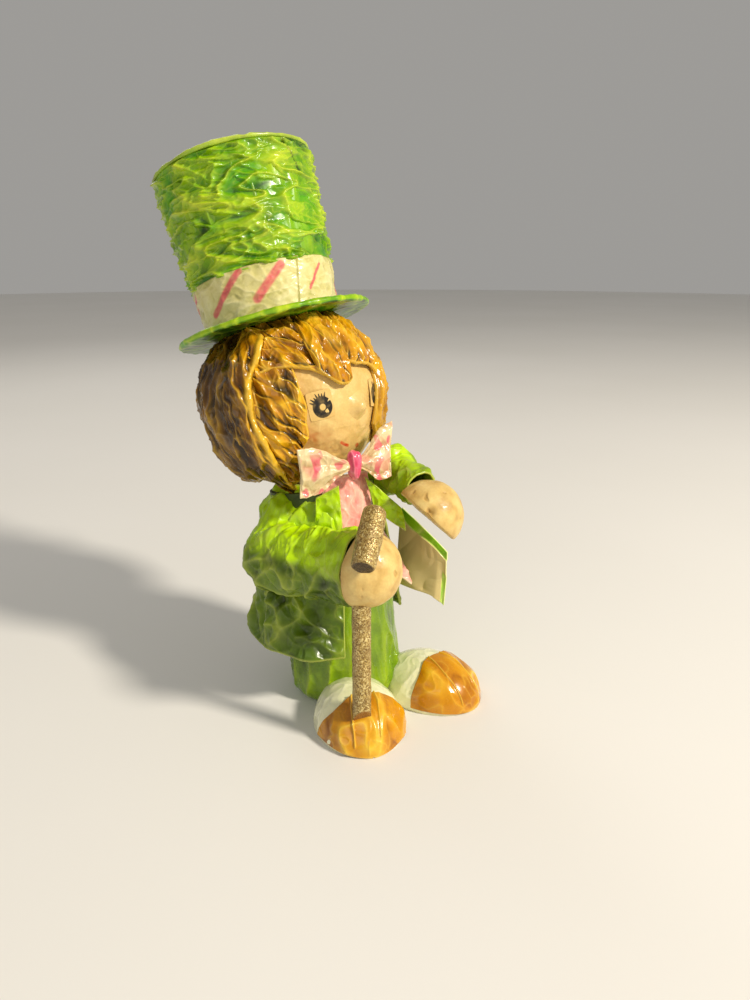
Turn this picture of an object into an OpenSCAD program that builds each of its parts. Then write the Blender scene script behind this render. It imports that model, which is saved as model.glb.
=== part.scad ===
// Standing papier-mache boy in a top hat, with a cane.
// Origin: middle of the flat base on the table. +Z is up, the figure faces -Y, and its left is +X.
// An azimuth is measured round an upright axis from -Y (0) towards +X (90).

/* [Body] */
// Outer radius of the card tube that makes the body
tube_r = 20; // [18:0.5:22]
// Wall of the card tube
tube_wall = 1.8; // [1.2:0.1:2.4]
// Length of the body along its own axis, from the base to the top of the tube
tube_top = 80; // [76:1:84]
// Radius of the rounding round the foot of the body
foot_round = 8; // [6:0.5:9]
// Backward lean of the body, in degrees
body_lean = 11; // [6:0.5:14]
// Lean of the body to its own left, in degrees
body_side = 2; // [-3:0.5:3]
// Thickness of the green paper over the lower body
trouser_wall = 1; // [0.6:0.1:1.5]

/* [Head] */
// Radius of the hollow ball under the face and hair
ball_r = 31.75; // [30:0.25:33]
// Wall of the ball
ball_wall = 3; // [2:0.5:5]
// Centre of the head: across, front to back, and height
head_centre = [0.6, 27.8, 109]; // [-5:0.1:120]
// Backward tilt of the head, in degrees
head_tilt = 18.7; // [10:0.1:22]
// Tilt of the head to its own left, in degrees
head_side = -1.8; // [-5:0.1:5]
// Thickness of the paper skin on the face
skin_t = 0.8; // [0.5:0.1:1.2]
// Thickness of the paper hair
hair_t = 1.8; // [1.2:0.1:2.6]
// Azimuth of each eye from the middle of the face, in degrees
eye_azimuth = 24.7; // [18:0.1:30]
// Height of the eyes over the middle of the head, in degrees
eye_height = -8.7; // [-14:0.1:0]
// Diameter of the dowel that holds the head
dowel_d = 6.35; // [5:0.05:8]

/* [Hat] */
// Outer radius of the brim
brim_r = 35.9; // [34:0.1:38]
// Thickness of the brim
brim_t = 2.2; // [1.6:0.1:3]
// Height of the brim's underside over the middle of the head, along the head's axis
brim_h = 27.2; // [26:0.1:29]
// Outer radius of the crown at the brim, over its paper
crown_r0 = 24.6; // [22:0.1:27]
// Outer radius of the crown at the lid, over its paper
crown_r1 = 28.2; // [26:0.1:32]
// Height of the crown from the brim to the lid
crown_h = 55.6; // [50:0.1:62]
// Thickness of the card that the crown is rolled from
crown_wall = 1.3; // [0.8:0.1:2]
// Thickness of the green paper and of the band on the crown
wrap_t = 0.8; // [0.5:0.1:1.2]
// Height of the band
band_h = 16; // [12:0.5:20]
// Radius of the lid
lid_r = 28.7; // [28:0.1:32]
// Shift of the hat on the head: to the left and to the front
hat_shift = [0.6, -0.8, 0]; // [-2:0.1:2]

/* [Coat] */
// Thickness of the stiff coat paper
coat_t = 1.2; // [0.8:0.1:1.8]
// Radius inside the coat at the shoulders
coat_r_top = 21.5; // [21.5:0.1:24]
// Radius inside the coat at its hem
coat_r_hem = 26; // [25.5:0.1:28]
// Height of the hem over the table
hem_h = 23.5; // [18:0.5:30]
// Outer radius of the right sleeve
sleeve_r = 12.4; // [11:0.1:13]
// Turn of the shirt front from the middle of the body, in degrees
chest_turn = -16; // [-25:1:0]

/* [Hands and cane] */
// Radius of the half balls that make the hands
hand_r = 12.7; // [11:0.1:14]
// Middle of the flat of the right hand
hand_right_at = [-21.6, -29.1, 64.3]; // [-60:0.1:90]
// Middle of the flat of the left hand
hand_left_at = [14.2, -27, 73]; // [-60:0.1:90]
// Diameter of the cane's shaft
shaft_d = 6.35; // [5:0.05:7]
// Diameter of the cane's handle
handle_d = 8; // [7:0.1:9]
// Length of the cane's handle
handle_l = 21; // [16:0.5:26]

/* [Shoes] */
// Length of the half egg
shoe_l = 41; // [36:0.5:44]
// Width of the half egg
shoe_w = 32; // [28:0.5:34]
// Height of the half egg
shoe_h = 15.5; // [13:0.5:18]
// Middle of the right shoe on the table, and the azimuth that its toe points to
shoe_right_at = [-17, -21.5, -32]; // [-45:0.5:0]
// Middle of the left shoe on the table, and the azimuth that its toe points to
shoe_left_at = [17, -27, 5]; // [-45:0.5:20]

/* [Hidden] */
$fn = 64;

leaf = "#6fb31b";
leaf_dark = "#4c8a12";
cream = "#efd9a3";
ochre = "#b97a14";
pink = "#ef9a93";
gold = "#b79b52";
card = "#b9986a";

far = 200;
foot_drop = -2;
trouser_top = 44;
plug_top = 12;
wire_d = 2;
skin_r = ball_r + skin_t;
hair_in = skin_r + 0.05;
hair_r = hair_in + hair_t;
lock_r = hair_r + 1.6;
plug_h = 10;
card_r0 = crown_r0 - wrap_t;
card_r1 = crown_r1 - wrap_t;
crown_base = brim_h + brim_t;
shoulder_r = [-17, 15, 70];
elbow_r = [-24, 11, 57.5];
cuff_r = hand_right_at + [0, 0.3, -1.5];
shoulder_l = [18, 5, 79];
elbow_l = [22, -3.5, 84];
cuff_l = [17.2, -19, 81.6];
elbow_puff = 0.4;
wire_start_r = [0, 14, 70];
wire_start_l = [3, 12, 72];
wire_end_r = hand_right_at + [0.3, -4, 0.4];
wire_end_l = hand_left_at + [1.3, 3, 3.5];
collar_at = [2.6, 14.3, 74];
hem_at = [-3.2, 9.9, hem_h];

// ---- frames and shared shapes ----

module in_body() rotate([-body_lean, body_side, 0]) children();

module in_head() translate(head_centre) rotate([-head_tilt, head_side, 0]) children();

// Tips the child's +Z onto the line from a to b without spinning it, and puts its origin on a
module along(a, b) {
    d = b - a;
    turn = atan2(d.y, d.x);
    drop = acos(d.z / norm(d));
    translate(a) rotate([0, drop, turn]) rotate([0, 0, -turn]) children();
}

module rod(a, b, r) along(a, b) cylinder(h = norm(b - a), r = r);

module on_hat() in_head() translate(hat_shift) children();

module above_table() intersection() {
    children();
    translate([-far / 2, -far / 2, 0]) cube(far);
}

// Wedge of a turned section, between two azimuths
module sector(from, to) rotate([0, 0, from - 90]) rotate_extrude(angle = to - from) children();

// Section of a sheet of thickness t that runs from radius r0 at height h0 to r1 at h1
module sheet_section(r0, h0, r1, h1, t)
    polygon([[r0, h0], [r0 + t, h0], [r1 + t, h1], [r1, h1]]);

// Section of the rounded foot of a column
module foot_curve(r) {
    core = r - foot_round;
    translate([0, foot_drop]) square([core, foot_round]);
    translate([core, foot_drop + foot_round]) intersection() {
        circle(r = foot_round);
        translate([0, -foot_round]) square(foot_round);
    }
}

// Section of a column with a rounded foot
module foot_section(r, top) {
    foot_curve(r);
    translate([0, foot_drop + foot_round]) square([r, top - foot_drop - foot_round]);
}

module column(r, top) in_body() rotate_extrude() foot_section(r, top);

// Piece of a round shell about the head's centre, cut out by an outline that lies square to
// the line at azimuth az and height el. The outline's y runs up and its x to the figure's left.
module shell_patch(az, el, r_in, r_out, outline) in_head() intersection() {
    difference() {
        sphere(r = r_out);
        sphere(r = r_in);
    }
    rotate([0, 0, az]) rotate([90 - el, 0, 0]) translate([0, 0, 8]) linear_extrude(40)
        polygon(outline);
}

// ---- inside ----

module base_plug() color(card) above_table() in_body() rotate_extrude() {
    foot_curve(tube_r);
    translate([0, foot_drop]) square([tube_r - foot_round, plug_top - foot_drop]);
    translate([0, foot_drop + foot_round]) square([tube_r - tube_wall, plug_top - foot_drop - foot_round]);
}

module body_tube() color(card) difference() {
    in_body() translate([0, 0, foot_drop + foot_round]) difference() {
        cylinder(h = tube_top - foot_drop - foot_round, r = tube_r);
        translate([0, 0, -1]) cylinder(h = far, r = tube_r - tube_wall);
    }
    in_head() sphere(r = hair_r + 0.3);
    wire_bores();
}

// Holes for the arm wires through the side of the tube
module wire_bores() {
    past = (elbow_r - shoulder_r) * 0.35;
    rod(shoulder_r - past, elbow_r, wire_d + 0.5);
    rod(elbow_l, wire_start_l, wire_d / 2 + 0.2);
}

module shoulder_plug() color(card) difference() {
    in_body() translate([0, 0, tube_top - plug_h]) cylinder(h = plug_h, r = tube_r - tube_wall);
    in_head() sphere(r = lock_r + 0.1);
    in_head() translate([0, 0, -far]) cylinder(h = far, d = dowel_d);
    rod(shoulder_r, wire_start_r, wire_d / 2 + 0.2);
    wire_bores();
}

module neck_dowel() color("#caa777") in_head()
    translate([0, 0, -ball_r - 9]) cylinder(h = 20, d = dowel_d);

module head_ball() color(card) in_head() difference() {
    sphere(r = ball_r);
    sphere(r = ball_r - ball_wall);
    translate([0, 0, -far]) cylinder(h = far, d = dowel_d);
}

module bent_wire(points) color("#8f8f8f") {
    for (i = [0 : len(points) - 2]) rod(points[i], points[i + 1], wire_d / 2);
    for (i = [1 : len(points) - 2]) translate(points[i]) sphere(d = wire_d + 0.3);
}

module arm_wire_right() bent_wire([wire_start_r, shoulder_r, elbow_r, wire_end_r]);

module arm_wire_left() bent_wire([wire_start_l, elbow_l, wire_end_l]);

// ---- face ----

module face_paper() color(cream) shell_patch(0, -8, ball_r, skin_r,
    [[-24, 12], [-22, -22], [-10, -29], [10, -29], [22, -22], [23, 12], [12, 26], [-14, 26]]);

module nose() color(cream) in_head() difference() {
    rotate([0, 0, 3]) rotate([90 + 15, 0, 0]) translate([0, 0, skin_r - 1.2]) sphere(r = 4.2);
    sphere(r = skin_r, $fn = 180);
}

module eye(side) color("#2b2418")
    shell_patch(side * eye_azimuth, eye_height, skin_r, skin_r + 0.2,
        [[-4.3, -4], [-2.5, -4.6], [2.5, -4.6], [4.3, -4], [4.6, 4], [3.6, 5.2], [-3.6, 5.2], [-4.6, 4]]);

module eye_right() eye(-1);

module eye_left() difference() {
    eye(1);
    lock_left();
}

// ---- hair ----

module hair_back() color(ochre) in_head() difference() {
    sphere(r = hair_r);
    sphere(r = hair_in);
    translate([0, 0, brim_h]) cylinder(h = far, r = far);
    translate([0, 0, -far - 26]) cylinder(h = far, r = far);
    sector(-62.4, 57) translate([0, -far / 2]) square(far);
}

module lock_right_back() color(ochre) shell_patch(-70, -15, hair_r + 0.05, lock_r,
    [[5, 21], [8, 17], [4, 12], [2.5, 4], [3, -8], [4.5, -18], [6, -26],
     [0, -27], [-3, -18], [-5, -6], [-5, 8], [-2, 17]]);

module lock_right_front() color(ochre) shell_patch(-49, 2, hair_in, hair_r,
    [[-7.4, 9.4], [2, 9.4], [7.1, 8.5], [7.4, 0], [8.6, -5.2], [6.9, -9.9], [4.9, -12.9],
     [1.1, -16], [-0.8, -18.5], [-6.6, -20], [-7.2, -8]]);

module fringe_right() color(ochre) shell_patch(-38, 30, hair_in, hair_r,
    [[-11, -5.3], [-4, -6.2], [1.1, -7], [7, -9.8], [9.4, -10.4], [9.6, -4],
     [9, 4], [8, 11], [-8, 11], [-10.5, 3]]);

module bang_centre() color(ochre) shell_patch(-12, 18, hair_r + 0.05, hair_r + 1.4,
    [[-5.5, -3.7], [-1.5, -7.2], [0, -9.8], [3, -10.4], [5.7, -9.4], [6.4, -3],
     [6.4, 4], [5.6, 10], [-4.5, 10], [-6, 4]]);

module bang_left() color(ochre) shell_patch(14, 24, hair_in, hair_r,
    [[-6.4, -5], [-5.6, -7.5], [-1.5, -8.6], [3.5, -9], [6.2, -10.5], [6.7, -2],
     [6.4, 6], [6, 11], [-6, 11], [-7.5, 5]]);

module lock_left() color(ochre) shell_patch(43, -4, hair_in, hair_r,
    [[-7.4, 18], [5, 18], [7, 8], [7.3, -6], [6.8, -18], [0, -23], [-6, -24], [-11, -19], [-12, -13],
     [-10.6, -4], [-9.6, 4], [-8.2, 12]]);

// ---- hat ----

module hat_brim() color(leaf) on_hat() translate([0, 0, brim_h]) rotate_extrude() {
    rim = brim_t / 2;
    translate([19.6, 0]) square([brim_r - rim - 19.6, brim_t]);
    translate([brim_r - rim, rim]) intersection() {
        circle(r = rim);
        translate([0, -rim]) square([rim, brim_t]);
    }
}

module cone_wrap(r0, r1, t, h0, h1) on_hat() translate([0, 0, crown_base]) rotate_extrude() {
    slope = (r1 - r0) / crown_h;
    sheet_section(r0 + slope * h0, h0, r0 + slope * h1, h1, t);
}

module hat_crown() color(card) cone_wrap(card_r0 - crown_wall, card_r1 - crown_wall, crown_wall, 0, crown_h);

module crown_paper() color(leaf) cone_wrap(card_r0, card_r1, wrap_t, band_h, crown_h);

module hat_band() color(cream) cone_wrap(card_r0, card_r1, wrap_t, 0, band_h);

module hat_lid() color(leaf) on_hat() translate([0, 0, crown_base + crown_h]) cylinder(h = 1.3, r = lid_r);

// ---- trousers, shirt and vest ----

module trousers() color(leaf) above_table() difference() {
    column(tube_r + trouser_wall, trouser_top);
    column(tube_r, trouser_top + 1);
    in_body() translate([0, 0, foot_drop - 1]) cylinder(h = 20, r = tube_r - foot_round);
}

module shirt_front() color(pink) in_body() difference() {
    sector(chest_turn - 26, chest_turn + 26) sheet_section(tube_r, trouser_top, tube_r, tube_top + 4, 1);
    translate([0, 0, tube_top]) sector(chest_turn + 8, chest_turn + 60)
        translate([tube_r - 1, 0]) square([4, 10]);
}

// One point of the vest: a strip of paper that ends in a point and swings out from the body
module vest_point(az, top, tip, swing) color(pink) in_body() rotate([0, 0, az])
    translate([0, -tube_r - 1.5, top]) rotate([-swing, 0, 0]) rotate([90, 0, 0])
        linear_extrude(0.8, center = true)
            polygon([[-5, 0], [5, 0], [5.5, tip + 7], [1, tip], [-5, tip + 9]]);

module vest_right() vest_point(-26, 62, -20, 3);

module vest_left() vest_point(14, 62, -24, 17);

// ---- coat ----

// Solid inside the coat, a cone that hangs from the shoulders more upright than the body leans
module coat_cone(grow) along(hem_at, collar_at)
    cylinder(h = norm(collar_at - hem_at), r1 = coat_r_hem + grow, r2 = coat_r_top + grow);

module coat_sheet(from, to) intersection() {
    along(hem_at, collar_at) translate([0, 0, -10]) sector(from, to) {
        length = norm(collar_at - hem_at);
        step = (coat_r_hem - coat_r_top) / length * 10;
        sheet_section(coat_r_hem + step, 0, coat_r_top, length + 10, coat_t);
    }
    translate([-far / 2, -far / 2, hem_h]) cube(far);
}

module coat_back() color(leaf) coat_sheet(92, 262);

module coat_front_right() color(leaf) difference() {
    coat_sheet(-98, -36);
    rod(shoulder_r, elbow_r + (elbow_r - shoulder_r) / 3, 3.5);
}

module coat_front_left() color(leaf) in_body() sector(56, 88)
    sheet_section(coat_r_top + 2.5, hem_h + 4, coat_r_top, tube_top - 5, coat_t);

// Loose half of the left front: a stiff sheet that stands out to the front and shows its lining
module coat_flap_left() color(leaf_dark) translate([19.4, -5.4, 0]) rotate([0, 5, 4])
    rotate([90, 0, -90]) linear_extrude(coat_t)
        polygon([[0, 39], [0, 60], [24.5, 53], [24.5, 49], [24, 36], [21, 39]]);

module lapel(az, lean, shape) color(leaf) in_body() rotate([0, 0, az])
    translate([0, -tube_r - 3.4, tube_top - 4]) rotate([0, lean, 0]) rotate([90, 0, 0])
        linear_extrude(1) polygon(shape);

module lapel_right() difference() {
    lapel(-40, 6, [[-4, 2], [4, 6], [5, -14], [2, -26], [-5, -18]]);
    coat_cone(coat_t + 0.05);
    arm_solid(shoulder_r, elbow_r, cuff_r, 8, 11.2, sleeve_r, -0.05);
}

// Stands out from the left edge of the shirt and faces the figure's right
module lapel_left() color(leaf) hull() for (corner = [[2.4, -7.4, 85], [4.6, -9.9, 74.6],
                                                       [8.9, -17, 71.4], [9.2, -15.4, 75.5]])
    translate(corner) sphere(d = 1, $fn = 12);

// Arm from a, round an elbow at b, to c, with its radius at each; trim takes the paper off
module arm_solid(a, b, c, ra, rb, rc, trim) {
    translate(a) sphere(r = ra - trim + elbow_puff);
    along(a, b) cylinder(h = norm(b - a), r1 = ra - trim, r2 = rb - trim);
    translate(b) sphere(r = rb - trim + elbow_puff);
    along(b, c) cylinder(h = norm(c - b) + trim, r1 = rb - trim, r2 = rc - trim);
}

module arm_room() {
    coat_cone(coat_t + 0.05);
    in_body() cylinder(h = tube_top, r = coat_r_top + coat_t + 0.1);
    in_head() sphere(r = hair_r + 1.8);
}

module sleeve_right() color(leaf) difference() {
    arm_solid(shoulder_r, elbow_r, cuff_r, 8, 11.2, sleeve_r, 0);
    arm_solid(shoulder_r, elbow_r, cuff_r, 8, 11.2, sleeve_r, 1);
    arm_room();
    half_ball(hand_right_at, [0.16, -0.987, 0]);
    translate(shaft_foot) cylinder(h = shaft_top, d = shaft_d + 0.2);
}

module sleeve_left() color(leaf) difference() {
    arm_solid(shoulder_l, elbow_l, cuff_l, 7.5, 7.5, 6.2, 0);
    arm_solid(shoulder_l, elbow_l, cuff_l, 7.5, 7.5, 6.2, 1);
    arm_room();
    translate(hand_left_at) sphere(r = hand_r + 0.05);
}

// ---- bow tie ----

bow_at = [-4.2, -8.6, 92];

module bow_knot() color("#d8567a") hull() {
    translate(bow_at + [0.3, 0, 3.4]) rotate([90, 0, -20]) cylinder(h = 4.6, r = 2.4, center = true, $fn = 32);
    translate(bow_at + [0, 0, -3.2]) rotate([90, 0, -20]) cylinder(h = 4.6, r = 1.8, center = true, $fn = 32);
}

// Stiff paper loop from the knot to two outer corners
module bow_wing(root, upper, lower) color(cream) difference() {
    hull() {
        translate(root) sphere(r = 2, $fn = 16);
        translate(upper) sphere(r = 1.4, $fn = 16);
        translate(lower) sphere(r = 1.4, $fn = 16);
        translate((root + upper + lower) / 3 + [0, -2, 0]) sphere(r = 2.6, $fn = 16);
    }
    bow_clear();
}

module bow_clear() {
    in_head() sphere(r = skin_r + 0.1);
    translate(bow_at) rotate([0, 0, -20]) cube([5.2, 9, 13], center = true);
}

module bow_wing_right() bow_wing(bow_at + [-2, 0.5, 0], [-23, -0.5, 98.6], [-23.5, -2, 84]);

module bow_wing_left() bow_wing(bow_at + [2, -0.6, 0.3], [12.5, -10.4, 104.4], [8.8, -13.6, 86.8]);

// ---- hands and cane ----

module half_ball(at, pole) translate(at) along([0, 0, 0], pole) difference() {
    sphere(r = hand_r);
    translate([-far / 2, -far / 2, -far]) cube(far);
}

shaft_foot = [-26.6, -32.5, 0];
shaft_top = 55.5;

module hand_right() color(cream) difference() {
    half_ball(hand_right_at, [0.16, -0.987, 0]);
    translate(shaft_foot) cylinder(h = shaft_top, d = shaft_d);
    rod(elbow_r, wire_end_r, wire_d / 2);
}

module hand_left() color(cream) difference() {
    half_ball(hand_left_at, [0.62, -0.33, 0.71]);
    rod(elbow_l, wire_end_l, wire_d / 2);
}

module cane_shaft() color(gold) difference() {
    translate(shaft_foot) cylinder(h = shaft_top, d = shaft_d);
    shoe_solid(shoe_right_at, 0.5);
}

handle_mid = [-27.5, -36.9, 78.7];
handle_dir = [-0.69, -0.39, -0.6];

module cane_handle() color(gold) difference() {
    rod(handle_mid - handle_dir / norm(handle_dir) * handle_l / 2,
        handle_mid + handle_dir / norm(handle_dir) * handle_l / 2, handle_d / 2);
    translate(hand_right_at) sphere(r = hand_r);
}

// ---- shoes ----

module half_egg(grow) intersection() {
    scale([shoe_w / 2 + grow, shoe_l / 2 + grow, shoe_h + grow]) sphere(r = 1);
    translate([-far / 2, -far / 2, 0]) cube(far);
}

module shoe_place(at) translate([at.x, at.y, 0]) rotate([0, 0, at.z]) children();

module shoe_solid(at, grow) shoe_place(at) half_egg(grow);

module shoe(at) color("#efeac0") difference() {
    shoe_solid(at, 0);
    column(tube_r + trouser_wall, trouser_top);
}

module toe_cap(at) color("#dd9310") difference() {
    shoe_solid(at, 0.5);
    shoe_solid(at, 0);
    shoe_place(at) translate([-far / 2, 1, -1]) cube(far);
    column(tube_r + trouser_wall, trouser_top);
}

module shoe_right() shoe(shoe_right_at);

module shoe_left() difference() {
    shoe(shoe_left_at);
    shoe_solid(shoe_right_at, 0.5);
}

module toe_cap_right() toe_cap(shoe_right_at);

module toe_cap_left() difference() {
    toe_cap(shoe_left_at);
    shoe_solid(shoe_right_at, 0.5);
}

base_plug();
body_tube();
shoulder_plug();
neck_dowel();
head_ball();
arm_wire_right();
arm_wire_left();
face_paper();
nose();
eye_right();
eye_left();
hair_back();
lock_right_back();
lock_right_front();
fringe_right();
bang_centre();
bang_left();
lock_left();
hat_brim();
hat_crown();
crown_paper();
hat_lid();
hat_band();
trousers();
shirt_front();
vest_right();
vest_left();
coat_back();
coat_front_right();
coat_front_left();
coat_flap_left();
lapel_right();
lapel_left();
sleeve_right();
sleeve_left();
bow_knot();
bow_wing_right();
bow_wing_left();
hand_right();
hand_left();
cane_shaft();
cane_handle();
shoe_right();
shoe_left();
toe_cap_right();
toe_cap_left();
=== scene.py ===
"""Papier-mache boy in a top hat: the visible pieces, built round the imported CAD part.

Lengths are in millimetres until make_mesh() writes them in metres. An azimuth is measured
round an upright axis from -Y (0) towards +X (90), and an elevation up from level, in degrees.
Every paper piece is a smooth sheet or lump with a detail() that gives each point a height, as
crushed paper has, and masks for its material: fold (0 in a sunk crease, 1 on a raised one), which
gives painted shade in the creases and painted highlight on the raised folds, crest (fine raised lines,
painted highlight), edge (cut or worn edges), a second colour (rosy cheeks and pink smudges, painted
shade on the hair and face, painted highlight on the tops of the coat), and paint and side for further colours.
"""
import math
import bmesh
import bpy
import numpy as np
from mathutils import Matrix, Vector


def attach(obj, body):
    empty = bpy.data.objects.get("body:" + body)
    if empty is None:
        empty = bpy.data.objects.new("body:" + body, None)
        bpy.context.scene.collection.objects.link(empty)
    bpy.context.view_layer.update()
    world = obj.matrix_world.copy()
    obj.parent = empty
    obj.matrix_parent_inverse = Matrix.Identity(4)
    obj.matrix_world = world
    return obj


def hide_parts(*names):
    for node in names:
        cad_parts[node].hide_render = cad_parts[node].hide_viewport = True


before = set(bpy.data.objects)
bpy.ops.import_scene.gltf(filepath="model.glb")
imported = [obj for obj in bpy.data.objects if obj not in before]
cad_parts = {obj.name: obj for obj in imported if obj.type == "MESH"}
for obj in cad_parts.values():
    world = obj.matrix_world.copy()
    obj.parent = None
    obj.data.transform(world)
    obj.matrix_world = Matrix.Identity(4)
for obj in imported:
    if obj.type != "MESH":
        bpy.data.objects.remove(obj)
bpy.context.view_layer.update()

MM = 0.001


# ---- frames

def turn(axis, degrees):
    """3 x 3 rotation about the x, y or z axis."""
    c, s = math.cos(math.radians(degrees)), math.sin(math.radians(degrees))
    return np.array({"x": [[1, 0, 0], [0, c, -s], [0, s, c]], "y": [[c, 0, s], [0, 1, 0], [-s, 0, c]],
        "z": [[c, -s, 0], [s, c, 0], [0, 0, 1]]}[axis])


def unit(v):
    v = np.asarray(v, float)
    return v / np.maximum(np.linalg.norm(v, axis=-1, keepdims=True), 1e-12)


def basis(direction):
    """Rotation that tips +Z onto a direction without spinning it."""
    d = unit(direction)
    spin = math.degrees(math.atan2(d[1], d[0]))
    drop = math.degrees(math.acos(d[2]))
    return turn("z", spin) @ turn("y", drop) @ turn("z", -spin)


def ring(azimuth, radius, z):
    """Points at an azimuth in degrees, a radius and a height."""
    a = np.radians(azimuth)
    radius, z = np.broadcast_arrays(radius, z)
    return np.stack([radius * np.sin(a), -radius * np.cos(a), z + 0 * a], -1)


def full_turn(columns):
    return np.linspace(0, 360, columns, endpoint=False)


class Frame:
    """A part of the figure with its own axes: where it is, and how it is turned."""

    def __init__(self, at, axes):
        self.at, self.axes = np.array(at, float), np.array(axes, float)

    def out(self, p):
        return p @ self.axes.T + self.at

    def into(self, p):
        return (p - self.at) @ self.axes

    def up(self, height):
        """The point at a height on the frame's own axis."""
        return self.out(np.array([0, 0, height]))


HEAD = Frame([0.6, 27.8, 109], turn("y", -1.8) @ turn("x", -18.7))
HAT = Frame(HEAD.out(np.array([0.6, -0.8, 0])), HEAD.axes)
BODY = Frame([0, 0, 0], turn("y", 2) @ turn("x", -11))
COLLAR_AT, HEM_AT = np.array([2.6, 14.3, 74]), np.array([-3.2, 9.9, 23.5])
COAT = Frame(HEM_AT, basis(COLLAR_AT - HEM_AT))
COAT_LENGTH = float(np.linalg.norm(COLLAR_AT - HEM_AT))

SKIN_R, HAIR_R = 32.55, 34.4
TUBE_R, TROUSER_R, TROUSER_TOP, FOOT_ROUND, FOOT_DROP = 20, 21, 44, 8, -2
BRIM_Z, BRIM_T, BRIM_R, BRIM_INNER_R = 27.2, 2.2, 35.9, 19.6
CROWN_Z, CROWN_H, CROWN_R0, CROWN_R1 = 29.4, 55.6, 24.6, 28.2
CROWN_TOP, LID_R, LID_T = CROWN_Z + CROWN_H, 28.7, 1.3
BAND_H, BAND_R = 16, 25
COAT_R_TOP, COAT_R_HEM, COAT_T, HEM_H, FRONT_LEFT_TOP = 21.5, 26, 1.2, 23.5, 75
SHIRT_TOP, VEST_R = 84.5, TUBE_R + 1.5
HAND_R = 12.7
HAND_RIGHT = Frame([-21.6, -29.1, 64.3], basis([0.16, -0.987, 0]))
HAND_LEFT = Frame([14.2, -27, 73], basis([0.62, -0.33, 0.71]))


# ---- noise

def scatter(i, seed):
    """Repeatable numbers from 0 to 1 for whole-number points."""
    n = (i[..., 0] * 73856093) ^ (i[..., 1] * 19349663) ^ (i[..., 2] * 83492791)
    n = (n ^ (seed * 2654435761)) & 0xFFFFFFFF
    n = ((n ^ (n >> 15)) * 2246822519) & 0xFFFFFFFF
    n = ((n ^ (n >> 13)) * 3266489917) & 0xFFFFFFFF
    return ((n ^ (n >> 16)) & 0xFFFFFF) / 16777216.0


def noise(p, seed=0):
    """Smooth noise from about -1 to 1."""
    i = np.floor(p).astype(np.int64)
    f = p - i
    w = f * f * f * (f * (f * 6 - 15) + 10)
    total = np.zeros(p.shape[:-1])
    for corner in np.ndindex(2, 2, 2):
        c = np.array(corner)
        d = f - c
        slope = sum((scatter(i + c, seed + k) * 2 - 1) * d[..., k] for k in range(3))
        total += slope * np.prod(np.where(c, w, 1 - w), axis=-1)
    return total * 1.6


def clouds(p, seed, octaves=3):
    return sum(noise(p * 2 ** k, seed + 11 * k) * 0.5 ** k for k in range(octaves))


def creases(p, seed, warp=0.5):
    """Long folds about one unit apart, raised ones and sunk ones: 0 along each fold and of opposite signs
    on its two sides; the third value is a slow drift."""
    p = p + warp * np.stack([noise(p * 0.7 + 7 * k, seed + 40 + k) for k in range(3)], -1)
    return noise(p, seed), noise(p * 0.85 + 4.3, seed + 20), noise(p * 0.45, seed + 30)


def smooth(x, low, high):
    t = limit((x - low) / (high - low))
    return t * t * (3 - 2 * t)


def crumple(p, seed, sizes, heights, stretch=(1, 1, 1), warp=0.35, winding=0.3, line=14.0, lowest=-9.0):
    """Layers of crushed paper over points in millimetres; winding is the share of narrow raised folds,
    and the rest is flat facets that meet in sharp creases. Gives the height in mm round 0,
    the fold mask (0 in a sunk crease, 1 on a raised fold), which carries painted shade and highlight,
    and the mask of fine raised lines, which are painted highlight."""
    height, fold, crest, weight = 0, 0, 0, 0
    for n, (size, amount) in enumerate(zip(sizes, heights)):
        up, down, slow = creases(p * np.array(stretch) / size + 3.7 * n, seed + 100 * n, warp)
        # tone: painted shading, each facet a little lighter or darker as if turned its own way to the light
        tone = 0.5 * (np.tanh(7 * up) + np.tanh(7 * down))      # each facet is a little lighter or darker
        up, down = np.abs(up), np.abs(down)
        ridge = np.exp(-5 * up)
        height = height + amount * (winding * (1.3 * ridge - 0.45) + (1 - winding) * 1.3 * (down - up))
        # fold: painted highlight on the raised folds and painted shade along the sunk ones, with a slow drift
        fold = fold + amount * (0.45 + 0.36 * ridge - 0.36 * np.exp(-8 * down) + 0.2 * slow + 0.2 * tone)
        # crest: fine pale lines on the raised folds, painted highlight
        crest = crest + amount * np.exp(-line * up) * smooth(slow, -0.55, 0.1)
        weight += amount
    height = np.maximum(height, lowest)
    return height, limit(fold / weight), limit(1.15 * crest / weight)


def border(u, v, across, along):
    """0 on a sheet's border and 1 inside it; across and along say how many times faster than the sheet."""
    return smooth(np.minimum(np.minimum(u, 1 - u) * across, np.minimum(v, 1 - v) * along), 0, 1)


def azimuth(q):
    """Azimuth of points in a frame, in degrees from -180 to 180."""
    return np.degrees(np.arctan2(q[..., 0], -q[..., 1]))


def off_axis(q):
    """Distance from the upright axis."""
    return np.hypot(q[..., 0], q[..., 1])


def limit(x):
    """A mask kept from 0 to 1."""
    return np.clip(x, 0, 1)


# ---- meshes

def add_object(name, data):
    obj = bpy.data.objects.new(name, data)
    bpy.context.scene.collection.objects.link(obj)
    return obj


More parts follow.
